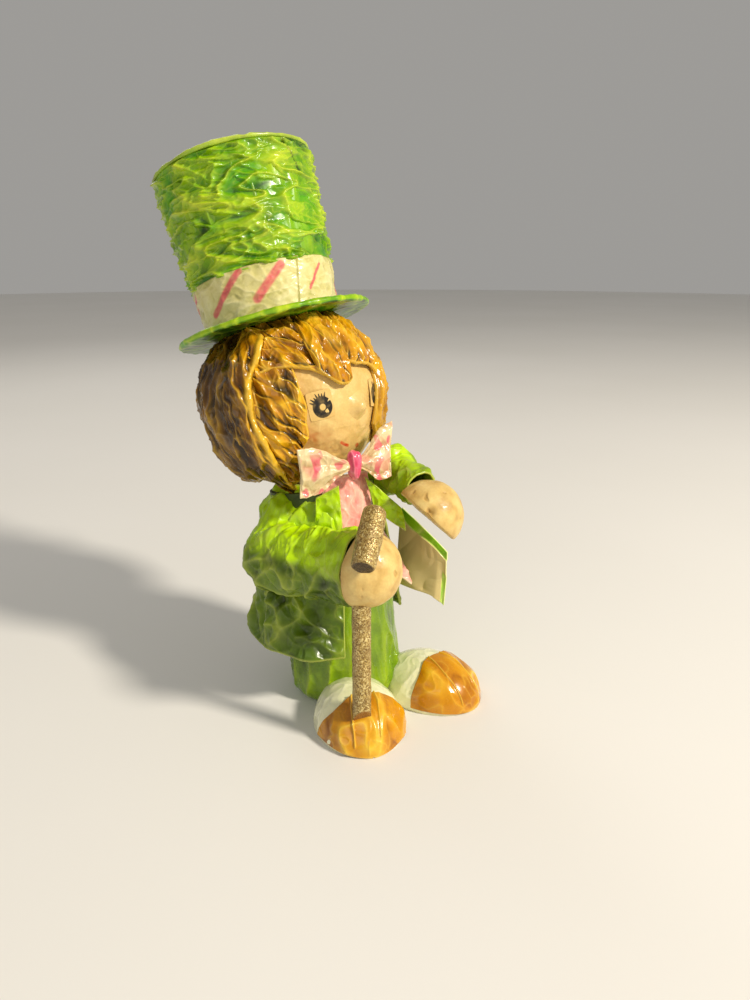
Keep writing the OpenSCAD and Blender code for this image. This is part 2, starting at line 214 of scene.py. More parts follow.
def make_mesh(name, points, quads, masks, weld=False):
    """Object from points in mm and quads, with its masks as attributes for the materials."""
    mesh = bpy.data.meshes.new(name)
    mesh.vertices.add(len(points))
    mesh.vertices.foreach_set("co", (points * MM).astype(np.float32).ravel())
    mesh.loops.add(quads.size)
    mesh.loops.foreach_set("vertex_index", quads.astype(np.int32).ravel())
    mesh.polygons.add(len(quads))
    mesh.polygons.foreach_set("loop_start", np.arange(0, quads.size, 4, dtype=np.int32))
    mesh.update(calc_edges=True)
    for key, values in masks.items():
        attribute = mesh.attributes.new(key, "FLOAT", "POINT")
        attribute.data.foreach_set("value", np.asarray(values, np.float32).ravel())
    b = bmesh.new()
    b.from_mesh(mesh)
    if weld:
        bmesh.ops.remove_doubles(b, verts=b.verts, dist=2e-6)
    bmesh.ops.recalc_face_normals(b, faces=b.faces)
    for f in b.faces:
        f.smooth = True
    b.to_mesh(mesh)
    b.free()
    return add_object(name, mesh)


def grid_quads(rows, columns, wrap_rows=False, wrap_columns=False, start=0):
    """Quads of a grid of points, closed on itself where a direction wraps."""
    index = start + np.arange(rows * columns).reshape(rows, columns)
    if wrap_rows:
        index = np.vstack([index, index[:1]])
    if wrap_columns:
        index = np.hstack([index, index[:, :1]])
    return np.stack([index[:-1, :-1], index[:-1, 1:], index[1:, 1:], index[1:, :-1]], -1).reshape(-1, 4)


def grid_normals(p, wrap):
    """Normals of a grid of points, turned one way all over."""
    across = np.roll(p, -1, 1) - np.roll(p, 1, 1) if wrap else np.gradient(p, axis=1)
    n = np.cross(across, np.gradient(p, axis=0))
    size = np.linalg.norm(n, axis=-1, keepdims=True)
    n = n / np.maximum(size, 1e-12)
    for row, near in ((0, 1), (-1, -2)):      # a row that is a point has no normal of its own
        thin = size[row] < 1e-9
        n[row] = np.where(thin, unit(n[near].mean(0)), n[row])
    return n


def outward(n, p, centre):
    """Normals of points p, all turned over if they look towards a centre inside."""
    return -n if np.mean(np.sum(n * (p - np.asarray(centre, float)), -1)) < 0 else n


def finish_piece(obj, node, look):
    """The piece stands in for a CAD node and wears a look."""
    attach(obj, "root")
    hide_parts(node)
    obj.data.materials.append(LOOKS[look])


def sheet(name, surface, shape, detail, thick, centre, wrap=False, back_rows=None, edge_soft=1.0):
    """Paper piece of an even thickness: surface(u, v) gives its outer face, and detail(points, u, v)
    the height in mm and the masks. centre is a point inside, which the outer face looks away from."""
    rows, columns = shape
    v, u = np.meshgrid(np.linspace(0, 1, rows), np.linspace(0, 1, columns, endpoint=not wrap),
        indexing="ij")
    base = surface(u, v)
    n = outward(grid_normals(base, wrap), base, centre)
    height, masks = detail(base, u, v)
    front = base + n * height[..., None]
    back = base + n * (height - thick)[..., None]
    masks = {"fold": 0 * u, "crest": 0 * u, **masks}
    masks["edge"] = np.maximum(masks.get("edge", 0), 0 * u)
    if wrap:
        keep = np.unique(np.linspace(0, rows - 1, back_rows or rows).round().astype(int))[::-1]
        lip = 0.35 * thick
        top = (front[-1] + back[-1]) / 2 + unit(front[-1] - front[-2]) * lip
        low = (front[0] + back[0]) / 2 + unit(front[0] - front[1]) * lip
        points = np.concatenate([front, top[None], back[keep], low[None]])
        quads = grid_quads(len(points), columns, True, True)
        made = {}
        for key, m in masks.items():
            rim = np.full((1, columns), edge_soft if key == "edge" else 0.5)
            inner = m[keep] * (0.3 if key == "crest" else 1)
            made[key] = np.concatenate([m, rim, inner, rim]).ravel()
        return make_mesh(name, points.reshape(-1, 3), quads, made)
    loop = np.concatenate([[(0, j) for j in range(columns)], [(i, columns - 1) for i in range(1, rows)],
        [(rows - 1, j) for j in range(columns - 2, -1, -1)], [(i, 0) for i in range(rows - 2, 0, -1)]])
    inside = np.clip(loop, [1, 1], [rows - 2, columns - 2])
    at, near = (loop[:, 0], loop[:, 1]), (inside[:, 0], inside[:, 1])
    mid = (front[at] + back[at]) / 2 + unit(front[at] - front[near]) * 0.35 * thick
    count = rows * columns
    f = at[0] * columns + at[1]
    m = 2 * count + np.arange(len(f))
    f2, m2 = np.roll(f, -1), np.roll(m, -1)
    quads = np.concatenate([grid_quads(rows, columns), grid_quads(rows, columns, start=count)[:, ::-1],
        np.stack([f, m, m2, f2], -1), np.stack([m, f + count, f2 + count, m2], -1)])
    points = np.concatenate([front.reshape(-1, 3), back.reshape(-1, 3), mid])
    made = {}
    for key, mask in masks.items():
        rim = np.full(len(f), edge_soft if key == "edge" else 0.5)
        made[key] = np.concatenate([mask.ravel(), mask.ravel(), rim])
    if "side" in masks:
        made["side"] = np.concatenate([0 * mask.ravel(), masks["side"].ravel(), rim * 0])
    return make_mesh(name, points, quads, made)


def round_rows(frame_of, profile, columns):
    a = full_turn(columns)
    return frame_of.out(np.array([ring(a, r, z) for r, z in profile]))


def lump(name, p, detail, centre):
    """Closed solid from rows of points that wrap round, whose first and last rows are single points."""
    n = outward(grid_normals(p, True), p, centre)
    height, masks = detail(p)
    p = p + n * height[..., None]
    p[0], p[-1] = p[0].mean(0), p[-1].mean(0)
    blank = np.zeros(p.shape[:2])
    masks = {"fold": blank, "crest": blank, "edge": blank, **masks}
    return make_mesh(name, p.reshape(-1, 3), grid_quads(*p.shape[:2], False, True),
        {k: m.ravel() for k, m in masks.items()}, weld=True)


def polyline(points, t):
    """Points at shares t of the length of a line through the given ones, rounded a little."""
    q = np.array(points, float)
    if len(q) > 2:
        fine = [q[0]]
        for a, b, c in zip(q[:-2], q[1:-1], q[2:]):
            fine += [0.25 * a + 0.75 * b, 0.06 * a + 0.88 * b + 0.06 * c, 0.75 * b + 0.25 * c]
        q = np.array(fine + [q[-1]])
    s = np.concatenate([[0], np.cumsum(np.linalg.norm(np.diff(q, axis=0), axis=1))])
    return np.stack([np.interp(t, s / s[-1], q[:, k]) for k in range(q.shape[1])], -1)


def coons(bottom, right, top, left):
    """Surface between four border lines; bottom and top run left to right, the sides run up."""
    def at(u, v):
        b, t = polyline(bottom, u), polyline(top, u)
        l, r = polyline(left, v), polyline(right, v)
        c = [np.array(x, float) for x in (bottom[0], bottom[-1], top[0], top[-1])]
        u, v = u[..., None], v[..., None]
        flat = (1 - u) * (1 - v) * c[0] + u * (1 - v) * c[1] + (1 - u) * v * c[2] + u * v * c[3]
        return (1 - v) * b + v * t + (1 - u) * l + u * r - flat
    return at


# ---- materials

def rgb(*c):
    """Linear colour from 0-255 display values."""
    return tuple(((x / 255 + 0.055) / 1.055) ** 2.4 if x > 10 else x / 255 / 12.92 for x in c) + (1,)


class Look:
    """A material that is being put together from nodes."""

    def __init__(self, name):
        self.material = bpy.data.materials.new(name)
        self.material.use_nodes = True
        self.tree = self.material.node_tree
        self.shader = self.tree.nodes["Principled BSDF"]

    def node(self, kind, inputs=(), **settings):
        n = self.tree.nodes.new(kind)
        for k, value in settings.items():
            setattr(n, k, value)
        for k, value in dict(inputs).items():
            if isinstance(value, bpy.types.NodeSocket):
                self.tree.links.new(value, n.inputs[k])
            else:
                n.inputs[k].default_value = value
        return n

    def mask(self, name):
        return self.node("ShaderNodeAttribute", attribute_name=name).outputs["Fac"]

    def texture(self, scale, detail=3.0, stretch=(1, 1, 1)):
        """Noise of a scale per metre, in the figure's own coordinates."""
        place = self.node("ShaderNodeTexCoord").outputs["Object"]
        if stretch != (1, 1, 1):
            place = self.node("ShaderNodeMapping", {"Vector": place, "Scale": stretch}).outputs["Vector"]
        return self.node("ShaderNodeTexNoise", {"Vector": place, "Scale": scale,
            "Detail": detail}).outputs[0]

    def math(self, operation, a, b=0.0, clamp=False):
        return self.node("ShaderNodeMath", {0: a, 1: b}, operation=operation, use_clamp=clamp).outputs[0]

    def remap(self, value, low, high, to_low, to_high):
        return self.node("ShaderNodeMapRange", {"Value": value, "From Min": low, "From Max": high,
            "To Min": to_low, "To Max": to_high}).outputs["Result"]

    def blend(self, a, b, factor, kind="MIX"):
        return self.node("ShaderNodeMix", {0: factor, 6: a, 7: b}, data_type="RGBA", blend_type=kind,
            clamp_factor=True).outputs[2]

    def ramp(self, value, stops):
        n = self.node("ShaderNodeValToRGB", {"Fac": value})
        e = n.color_ramp.elements
        while len(e) < len(stops):
            e.new(0.5)
        for element, (position, colour) in zip(e, stops):
            element.position, element.color = position, colour
        return n.outputs["Color"]

    def bump(self, *layers):
        """Bump nodes one after another: (height socket, strength, distance in metres)."""
        normal = {}
        for height, strength, distance in layers:
            made = self.node("ShaderNodeBump", {"Height": height, "Strength": strength,
                "Distance": distance, **normal})
            normal = {"Normal": made.outputs["Normal"]}
        self.tree.links.new(normal["Normal"], self.shader.inputs["Normal"])

    def finish(self, colour, rough, coat=0.0, coat_rough=0.15, specular=0.5, metal=0.0):
        links, s = self.tree.links, self.shader
        links.new(colour, s.inputs["Base Color"])
        links.new(rough, s.inputs["Roughness"])
        s.inputs["Coat Weight"].default_value = coat
        s.inputs["Coat Roughness"].default_value = coat_rough
        s.inputs["Specular IOR Level"].default_value = specular
        s.inputs["Metallic"].default_value = metal
        return self.material


def paper(name, colours, rough=(0.3, 0.5), coat=0.35, paint=None, tint_and_shading=None, lining=None, patch=None,
        patch_amount=0.5, crease_amount=0.8, valley=0.42, grain=0.25):
    """Painted and lacquered paper, with painted shade in the folds and painted highlight on the ridges.
    colours are those of the sunk folds, the facets, the raised folds, the fine lines and the cut edge."""
    dark, mid, light, crease, edge = (rgb(*c) for c in colours)
    k = Look(name)
    fold = k.math("ADD", k.mask("fold"), k.remap(k.texture(130), 0.25, 0.75, -0.16, 0.16), clamp=True)
    # fold colours: painted shade in the sunk folds, painted highlight on the raised ones
    colour = k.ramp(fold, [(0.1, dark), (valley, mid), (0.85, light)])
    if patch:
        colour = k.blend(colour, rgb(*patch), k.remap(k.texture(55, 2.0), 0.5, 0.66, 0.0, patch_amount))
    # pale fine lines: painted highlight on the crests
    colour = k.blend(colour, crease, k.math("MULTIPLY", k.mask("crest"), crease_amount, clamp=True))
    fine = k.texture(1400, 4.0)
    colour = k.blend(colour, rgb(255, 255, 255), k.remap(fine, 0.35, 0.7, 0.0, 0.12), "OVERLAY")
    # second colour: rosy cheeks and pink smudges on some pieces, painted shade on the hair and face, painted
    # highlight on the coat's tops
    if tint_and_shading:
        lines = k.math("MULTIPLY", k.mask("crest"), 0.5, clamp=True)
        colour = k.blend(colour, rgb(*tint_and_shading), k.math("SUBTRACT", k.mask("tint_and_shading"), lines, clamp=True))
    if paint:
        wobble = k.math("MULTIPLY", k.mask("paint"), k.remap(k.texture(500), 0.3, 0.6, 0.75, 1.0))
        colour = k.blend(colour, rgb(*paint), wobble)
    if lining:
        colour = k.blend(colour, rgb(*lining), k.mask("side"))
    colour = k.blend(colour, edge, k.mask("edge"))
    k.bump((fine, grain, 0.00012), (k.texture(420), grain * 0.8, 0.0003))
    return k.finish(colour, k.remap(k.texture(260), 0.3, 0.7, *rough), coat, specular=0.32)


LOOKS = {key: paper(*settings[:2], **settings[2]) for key, settings in {
    "green": ("green_paper", ((28, 70, 0), (92, 146, 0), (150, 188, 0), (206, 216, 56), (196, 208, 80)),
        dict(patch=(56, 150, 0), patch_amount=0.7, rough=(0.28, 0.44), coat=0.25)),
    # green_coat: its lime second colour is painted highlight on the tops of the coat, sleeves and lapels
    "green_coat": ("green_coat_paper", ((28, 42, 0), (78, 104, 0), (112, 140, 0), (178, 190, 76),
        (196, 204, 96)),
        dict(tint_and_shading=(194, 236, 4), patch=(64, 94, 0), rough=(0.3, 0.44), coat=0.14)),
    "trousers": ("green_trouser_paper", ((70, 96, 0), (102, 134, 0), (142, 172, 0), (180, 196, 50),
        (190, 200, 100)),
        dict(patch=(112, 160, 0), rough=(0.2, 0.34), coat=0.4, crease_amount=0.5)),
    # face: its second colour is the rosy cheeks and the painted shade on the figure's right side
    "face": ("face_paper", ((176, 136, 70), (208, 171, 100), (222, 188, 120), (234, 208, 146),
        (196, 160, 92)),
        dict(tint_and_shading=(180, 112, 48), paint=(206, 60, 20), crease_amount=0.3, rough=(0.34, 0.5), coat=0.2, grain=0.15)),
    "eye": ("eye_print", ((186, 146, 80), (206, 168, 98), (216, 182, 114), (230, 204, 142), (180, 138, 72)),
        dict(paint=(24, 20, 16), crease_amount=0.2, rough=(0.62, 0.74), coat=0.0, grain=0.1)),
    # hair and bang: their dark brown second colour is painted shade
    "hair": ("hair_paper", ((30, 14, 0), (134, 84, 0), (194, 136, 0), (226, 180, 50), (210, 166, 54)),
        dict(patch=(92, 52, 0), tint_and_shading=(38, 19, 0), rough=(0.18, 0.3), coat=0.3, valley=0.45)),
    "bang": ("bang_paper", ((38, 18, 0), (176, 114, 0), (220, 158, 0), (242, 200, 58), (222, 178, 58)),
        dict(patch=(140, 82, 0), tint_and_shading=(50, 26, 0), rough=(0.18, 0.3), coat=0.3)),
    "band": ("band_paper", ((176, 168, 96), (208, 196, 128), (224, 214, 154), (238, 228, 178),
        (216, 200, 134)),
        dict(paint=(214, 64, 90), tint_and_shading=(158, 170, 70), crease_amount=0.3, rough=(0.3, 0.45), coat=0.3)),
    "pink": ("pink_paper", ((222, 110, 108), (240, 150, 138), (248, 176, 158), (250, 206, 180),
        (244, 222, 180)),
        dict(crease_amount=0.6, rough=(0.32, 0.45), coat=0.4)),
    "bow": ("bow_paper", ((172, 138, 90), (214, 186, 138), (228, 204, 158), (240, 224, 184),
        (238, 218, 170)),
        dict(paint=(214, 56, 96), tint_and_shading=(222, 130, 122), crease_amount=0.3, rough=(0.28, 0.42))),
    "knot": ("knot_paper", ((196, 40, 80), (222, 76, 112), (238, 116, 140), (248, 176, 180),
        (248, 200, 190)),
        dict(crease_amount=0.5, rough=(0.22, 0.35), coat=0.6)),
    "flap": ("flap_paper", ((70, 130, 4), (116, 180, 10), (150, 206, 24), (206, 226, 120), (244, 236, 184)),
        dict(lining=(208, 188, 126), rough=(0.32, 0.48))),
    "shoe": ("shoe_pulp", ((226, 224, 170), (238, 236, 190), (244, 242, 202), (250, 250, 224),
        (240, 236, 200)),
        dict(patch=(226, 228, 166), patch_amount=0.3, crease_amount=0.3, rough=(0.14, 0.3), coat=0.7, grain=0.12)),
    "toe": ("toe_paper", ((130, 74, 0), (194, 128, 0), (216, 152, 0), (240, 198, 66), (230, 194, 84)),
        dict(patch=(168, 100, 0), rough=(0.16, 0.3), coat=0.5)),
    "hand": ("hand_pulp", ((184, 148, 80), (210, 175, 104), (224, 194, 124), (236, 212, 150),
        (180, 144, 76)),
        dict(crease_amount=0.2, rough=(0.36, 0.52), coat=0.2, grain=0.2)),
}.items()}


def glitter():
    """Gold glitter in brown glue: many tiny flakes that lie at their own angles."""
    k = Look("gold_glitter")
    place = k.node("ShaderNodeTexCoord").outputs["Object"]
    cells = k.node("ShaderNodeTexVoronoi", {"Vector": place, "Scale": 2600.0, "Randomness": 1.0})
    flake = k.node("ShaderNodeSeparateColor", {"Color": cells.outputs["Color"]}).outputs[0]
    # each flake gets its own brightness, dark to pale gold: painted glints of flakes that lie at their own angles
    colour = k.ramp(flake, [(0.0, rgb(112, 84, 36)), (0.35, rgb(158, 128, 64)), (0.7, rgb(190, 162, 92)),
        (1.0, rgb(236, 216, 152))])
    dirt = k.remap(k.texture(300, 4.0), 0.45, 0.62, 0.0, 0.35)
    colour = k.blend(colour, rgb(96, 66, 26), dirt)
    colour = k.blend(colour, rgb(150, 102, 58), k.mask("paint"))
    # dark brown on the cut ends of the cane handle: painted shade
    colour = k.blend(colour, rgb(46, 26, 10), k.mask("edge"))
    rough = k.remap(flake, 0.0, 1.0, 0.5, 0.22)
    k.bump((cells.outputs["Distance"], 0.6, 0.0002), (k.texture(900), 0.5, 0.0003))
    return k.finish(colour, rough, coat=0.1, coat_rough=0.3, metal=0.25)


def plain(name, dark, light, scale, rough, metal=0.0, stretch=(1, 1, 1)):
    """Card, wood or wire that is hidden inside."""
    k = Look(name)
    colour = k.ramp(k.texture(scale, 5.0, stretch=stretch), [(0.3, rgb(*dark)), (0.7, rgb(*light))])
    fine = k.texture(1500, 3.0)
    k.bump((fine, 0.3, 0.0002))
    return k.finish(colour, k.remap(fine, 0.3, 0.7, rough, rough + 0.12), metal=metal)


LOOKS["glitter"] = glitter()
LOOKS["card"] = plain("grey_card", (128, 104, 72), (176, 148, 108), 300.0, 0.75)
# dark olive inner card where gaps between the paper pieces show it: painted shade
LOOKS["shade_dark_card"] = plain("shade_dark_card", (44, 60, 8), (74, 92, 16), 260.0, 0.5)
LOOKS["dowel"] = plain("birch_dowel", (170, 132, 84), (214, 182, 132), 220.0, 0.55, stretch=(1, 1, 0.1))
LOOKS["wire"] = plain("steel_wire", (104, 104, 104), (168, 168, 166), 500.0, 0.3, metal=0.9)


# ---- head and face

def on_head(az_el, radius):
    az, el = np.radians(az_el[..., 0]), np.radians(az_el[..., 1])
    return HEAD.out(np.stack([radius * np.cos(el) * np.sin(az), -radius * np.cos(el) * np.cos(az),
        radius * np.sin(el)], -1))


def head_angles(p):
    q = HEAD.into(p)
    return azimuth(q), np.degrees(np.arcsin(q[..., 2] / np.linalg.norm(q, axis=-1)))


def dab(az, el, at, size):
    """Soft round mark on the head, 1 in its middle; sizes are in degrees."""
    d = ((az - at[0]) / size[0]) ** 2 + ((el - at[1]) / size[1]) ** 2
    return np.exp(-d)


def stroke(az, el, points, width, soft=0.4):
    """Painted line through points, 1 inside; width is in degrees and shrinks to the ends."""
    best = np.zeros(az.shape)
    for a, b in zip(points[:-1], points[1:]):
        a, b = np.array(a, float), np.array(b, float)
        d = b - a
        t = np.clip(((az - a[0]) * d[0] + (el - a[1]) * d[1]) / (d @ d), 0, 1)
        gap = np.hypot(az - a[0] - t * d[0], el - a[1] - t * d[1])
        best = np.maximum(best, 1 - smooth(gap, width * (1 - soft), width))
    return best


FACE_EDGE = 78        # how far the face paper reaches from its middle, in degrees
NOSE_AT = (3.0, -15.0)                          # azimuth and elevation on the head
EYE_AZIMUTH, EYE_ELEVATION = 24.7, -8.7
EYE_WIDE, EYE_HIGH, LASHES = 9.2, 9.8, 7        # printed patch in mm, and its lashes


def face_detail(p):
    az, el = head_angles(p)
    q = HEAD.into(p)
    big = clouds(q / 13, 21, 2) * 0.5
    small = clouds(q / 3.2, 22, 3) * 0.12
    dents = -0.35 * smooth(noise(q / 5.2, 23), 0.35, 0.8)
    seams, fold, crest = crumple(q, 24, [11, 5], [0.45, 0.22], warp=0.5)
    # second colour: rosy cheeks, and painted shade low on the figure's right cheek and over its right side
    tint_and_shading = 0.55 * dab(az, el, (-31, -27), (11, 8)) + 0.55 * dab(az, el, (31, -27), (11, 8))
    tint_and_shading = tint_and_shading + 0.4 * dab(az, el, (-38, -40), (20, 16)) + 0.25 * smooth(-az, 20, 50)
    tint_and_shading *= 0.55 + 0.6 * smooth(noise(q / 2.1, 25), -0.2, 0.7)
    lips = np.maximum(stroke(az, el, [(-12.5, -35.6), (-9.4, -37.6), (-5.4, -39.4)], 1.3),
        stroke(az, el, [(6, -41), (7.6, -42.2)], 1.7))
    lips = lips * (0.8 + 0.4 * noise(q / 1.5, 26))
    # fold: lighter on the bumps and darker in the dents, painted highlight and shade
    return big + small + dents + seams * 0.5, {"fold": 0.45 + 0.3 * fold + 0.5 * (big + dents),
        "crest": crest * 0.5, "tint_and_shading": limit(tint_and_shading), "paint": lips * 0.9}


def face_rows(rows, columns):
    """Ball cap round the middle of the face, closed by a flat back inside the head."""
    middle = Frame([0, 0, 0], basis([0, -math.cos(math.radians(8)), -math.sin(math.radians(8))]))
    a = full_turn(columns)
    tips = np.radians(np.linspace(0, FACE_EDGE, rows))
    p = [ring(a, SKIN_R * math.sin(t), SKIN_R * math.cos(t)) for t in tips]
    edge_z, edge_r = SKIN_R * math.cos(tips[-1]), SKIN_R * math.sin(tips[-1])
    p += [ring(a, edge_r * s, edge_z - 0.8) for s in (0.99, 0.5, 0.0)]
    return HEAD.out(middle.out(np.array(p)))


finish_piece(lump("face", face_rows(190, 420), face_detail, HEAD.at), "face_paper", "face")


def nose():
    profile = [(r, 2.9 * math.exp(-(r / 3.3) ** 2) - 0.03 * r * r) for r in np.linspace(0, 6.4, 18)]
    fine = polyline(profile + [(6.4, -1.6), (3, -1.7), (0, -1.7)], np.linspace(0, 1, 44))
    az, el = NOSE_AT
    way = ring(az, math.cos(math.radians(el)), math.sin(math.radians(el)))
    place = Frame(on_head(np.array([az, el]), SKIN_R - 0.15), HEAD.axes @ basis(way))

    def detail(p):
        flat = 0 * p[..., 0]
        return 0.12 * clouds(HEAD.into(p) / 3.0, 31, 3), {"fold": 0.62 + flat, "tint_and_shading": flat, "paint": flat}

    finish_piece(lump("nose_bump", round_rows(place, fine, 72), detail, place.at), "nose", "face")


nose()


def eye(node, azimuth, flip):
    """Printed patch with a ring of an eye, a pale middle and short lashes over it."""
    def surface(u, v):
        x, z = (u - 0.5) * EYE_WIDE, (v - 0.5) * EYE_HIGH
        corner = 1 - 0.06 * (np.abs(u - 0.5) * 2) ** 4 * (np.abs(v - 0.5) * 2) ** 4
        x, z = x * corner, z * corner
        y = -np.sqrt((SKIN_R + 0.28) ** 2 - x * x - z * z)
        place = Frame(HEAD.at, HEAD.axes @ turn("z", azimuth) @ turn("x", -EYE_ELEVATION))
        return place.out(np.stack([x, y, z], -1))

    def detail(p, u, v):
        x, z = (u - 0.5) * EYE_WIDE * flip - 0.45, (v - 0.5) * EYE_HIGH + 0.75
        r = np.hypot(x, z * 0.96)
        ink = smooth(r, 0.95, 1.2) * (1 - smooth(r, 3.45, 3.65))
        for k in range(LASHES):
            a = math.radians(-62 + 14 * k)
            reach = 4.9 + 0.4 * math.sin(k * 2.4)
            along, across = x * math.sin(a) + z * math.cos(a), x * math.cos(a) - z * math.sin(a)
            width = 0.34 * (1 - smooth(along, 3.4, reach + 0.4)) + 0.1
            lash = (1 - smooth(np.abs(across), width * 0.6, width)) * smooth(along, 3.0, 3.3)
            ink = np.maximum(ink, lash * (1 - smooth(along, reach - 0.2, reach)))
        q = HEAD.into(p)
        return 0.05 * clouds(q / 2.5, 33, 2), {"paint": ink, "fold": 0.5 + 0.2 * noise(q / 3, 35),
            "tint_and_shading": 0 * u}

    finish_piece(sheet(f"{node}_print", surface, (150, 150), detail, 0.25, HEAD.at, edge_soft=0.25), node,
        "eye")


eye("eye_right", -EYE_AZIMUTH, 1)
eye("eye_left", EYE_AZIMUTH, -1)


# ---- hair

def hair(node, borders, shape, seed, look, lift=0.0, bulge=0.0, fold_height=1.3, lean=0.0, thick=1.6,
        strands=5.5, lip=0.0, pleats=(0, 5, 1.0), rim=0.0, hollow=0.0):
    """Strip of crushed paper that lies over the head, with long folds that run down it.
    pleats is the slope of its folded strips in degrees, their width in mm and how far each one stands up;
    rim raises the strip's right edge, with a painted highlight along it, and hollow darkens its left side
    with painted shade."""
    outline = coons(*borders)

    def surface(u, v):
        round_off = bulge * (1 - (2 * u - 1) ** 2) ** 0.6
        edge = border(u, v, 8, 10)
        return on_head(outline(u, v), HAIR_R + lift + round_off - lip * (1 - edge))

    def detail(p, u, v):
        q = HEAD.into(p)
        az, el = head_angles(p)
        flow = np.stack([np.radians(az + lean * (el - 20) / 10) * 33, q[..., 1] * 0.4, q[..., 2]], -1)
        h1, f1, c1 = crumple(flow, seed, [strands * 1.3, strands * 0.65],
            [fold_height * 1.25, fold_height * 0.6], (1, 0.5, 0.3), 0.45, 0.35, 10.0)
        h2, f2, c2 = crumple(q, seed + 7, [7, 3.2], [0.9, 0.3], (1, 1, 0.6), 0.5, 0.4, 10.0)
        slope, width, depth = pleats
        across = flow[..., 0] * math.cos(math.radians(slope)) + flow[..., 2] * math.sin(math.radians(slope))
        x = across / width + 0.55 * noise(q / 10, seed + 17) + 0.2 * noise(q / 4, seed + 18)
        step = x - np.floor(x)
        gap = np.maximum(1 - smooth(step, 0.0, 0.22), smooth(step, 0.93, 1.0))
        strength = smooth(noise(q / 9, seed + 19), -0.45, 0.1)
        h1 = h1 + strength * depth * (limit(step / 0.86) - 0.5 - 0.9 * smooth(step, 0.86, 1.0))
        # crest_line: a pale line along the top of each strip, painted highlight
        crest_line = strength * np.exp(-((step - 0.86) / 0.045) ** 2)
        raised = rim * np.exp(-((u - 0.9) / 0.07) ** 2)
        h1 = h1 + 1.1 * raised
        edge = border(u, v, 14, 14)
        fold = 0.52 + 1.6 * (0.65 * (f1 - 0.5) + 0.35 * (f2 - 0.5)) + 0.16 * noise(q / 12, seed + 3)
        # the gaps between strips get painted shade, the raised rim painted highlight
        fold = limit(limit(fold) - 0.7 * strength * gap + 0.4 * raised)
        right = (az + 180) % 360 - 180
        # shade: painted shade on the figure's right side, the back, under the brim, low on the right side and in the
        # hollow
        shade = smooth(-right, 66, 76) + 0.8 * smooth(right, 70, 90) + 0.6 * smooth(el, 36, 50)
        shade = shade + 0.75 * smooth(-right, 44, 54) * smooth(-el, 29, 37)
        left = 1 - smooth(u, 0.1, 0.4)
        shade = shade + hollow * left * smooth(v, 0.1, 0.3) * (1 - smooth(v, 0.6, 0.85))
        shade = limit(shade - raised) * (0.72 + 0.5 * noise(q / 7, seed + 13))
        masks = {"fold": fold, "crest": limit(0.6 * c1 + 0.3 * c2 + 0.7 * crest_line + raised),
            "tint_and_shading": np.clip(shade, 0, 0.92), "edge": 0.75 * (1 - smooth(edge, 0.0, 0.12))}
        return (h1 + h2) * (0.35 + 0.65 * edge) - 0.5 * (1 - edge), masks

    name = "hair_back_paper" if node == "hair_back" else f"hair_{node}"
    made = sheet(name, surface, shape, detail, thick, HEAD.at)
    finish_piece(made, node, look)


TOP = 53        # elevation of the hair's upper end, under the brim

hair("hair_back", ([(57, -40), (90, -46), (130, -50), (180, -52), (225, -50), (265, -47), (299, -44)],
    [(299, -44), (299, 0), (299, TOP)], [(57, TOP), (180, TOP), (299, TOP)],
    [(57, -40), (57, 0), (57, TOP)]), (150, 330), 41, "hair", fold_height=1.2, lean=-2.0, strands=6.5,
    pleats=(6, 6.5, 0.9))
hair("lock_right_back", ([(-80, -66), (-74, -70), (-66, -64)],
    [(-66, -64), (-62, -48), (-61, -28), (-63, -5), (-61, 10), (-53, 24), (-48, 40)],
    [(-68, 44), (-58, 46), (-48, 40)], [(-80, -66), (-80, -50), (-79, -28), (-82, -5), (-80, 14),
    (-72, 30), (-68, 44)]), (240, 80), 43, "hair", lift=0.6, bulge=2.0, fold_height=0.8, lean=1.5,
    thick=2.2, strands=4.5, lip=0.8, pleats=(-6, 5, 0.8), rim=1.0)
hair("lock_right_front", ([(-68, -60), (-58, -58), (-49, -54)],
    [(-49, -54), (-46, -42), (-44, -33), (-37, -25.5), (-36.5, -15.5), (-33.7, -7), (-35, 2), (-36, 19)],
    [(-62, 24), (-48, 22), (-36, 19)], [(-68, -60), (-66, -20), (-65, 0), (-62, 24)]), (220, 110), 45,
    "bang", fold_height=1.0, lean=3.0, strands=4.5, pleats=(32, 4.6, 1.2), hollow=0.6)
hair("fringe_right", ([(-62, 17), (-48, 19), (-36, 17), (-24, 12), (-14.6, 5.5)],
    [(-14.6, 5.5), (-17, 20), (-20, 36), (-22, TOP)], [(-66, TOP), (-44, TOP), (-22, TOP)],
    [(-62, 17), (-64, 34), (-66, TOP)]), (150, 170), 47, "bang", lift=0.5, fold_height=0.9, lean=8.0,
    strands=4.0, pleats=(62, 5.2, 1.5))
hair("bang_centre", ([(-23, 12.5), (-17, 6), (-12, 0.8), (-6, 0), (-1.5, 2)],
    [(-1.5, 2), (0, 12), (2, 30), (3, TOP)], [(-25, TOP), (-10, TOP), (3, TOP)],
    [(-23, 12.5), (-24, 30), (-25, TOP)]), (140, 90), 49, "bang", lift=1.3, bulge=0.4, fold_height=0.8,
    lean=1.0, strands=3.8, pleats=(8, 3.6, 0.9))
hair("bang_left", ([(0, 13), (5, 10.5), (11, 10), (17, 9), (22, 8), (26, 3)],
    [(26, 3), (30, 14), (32, 30), (32, TOP)], [(0, TOP), (16, TOP), (32, TOP)],
    [(0, 13), (1, 30), (0, TOP)]), (130, 110), 51, "bang", lift=0.9, bulge=0.3, fold_height=0.9, lean=-1.0,
    strands=4.0, pleats=(-28, 3.2, 0.7))
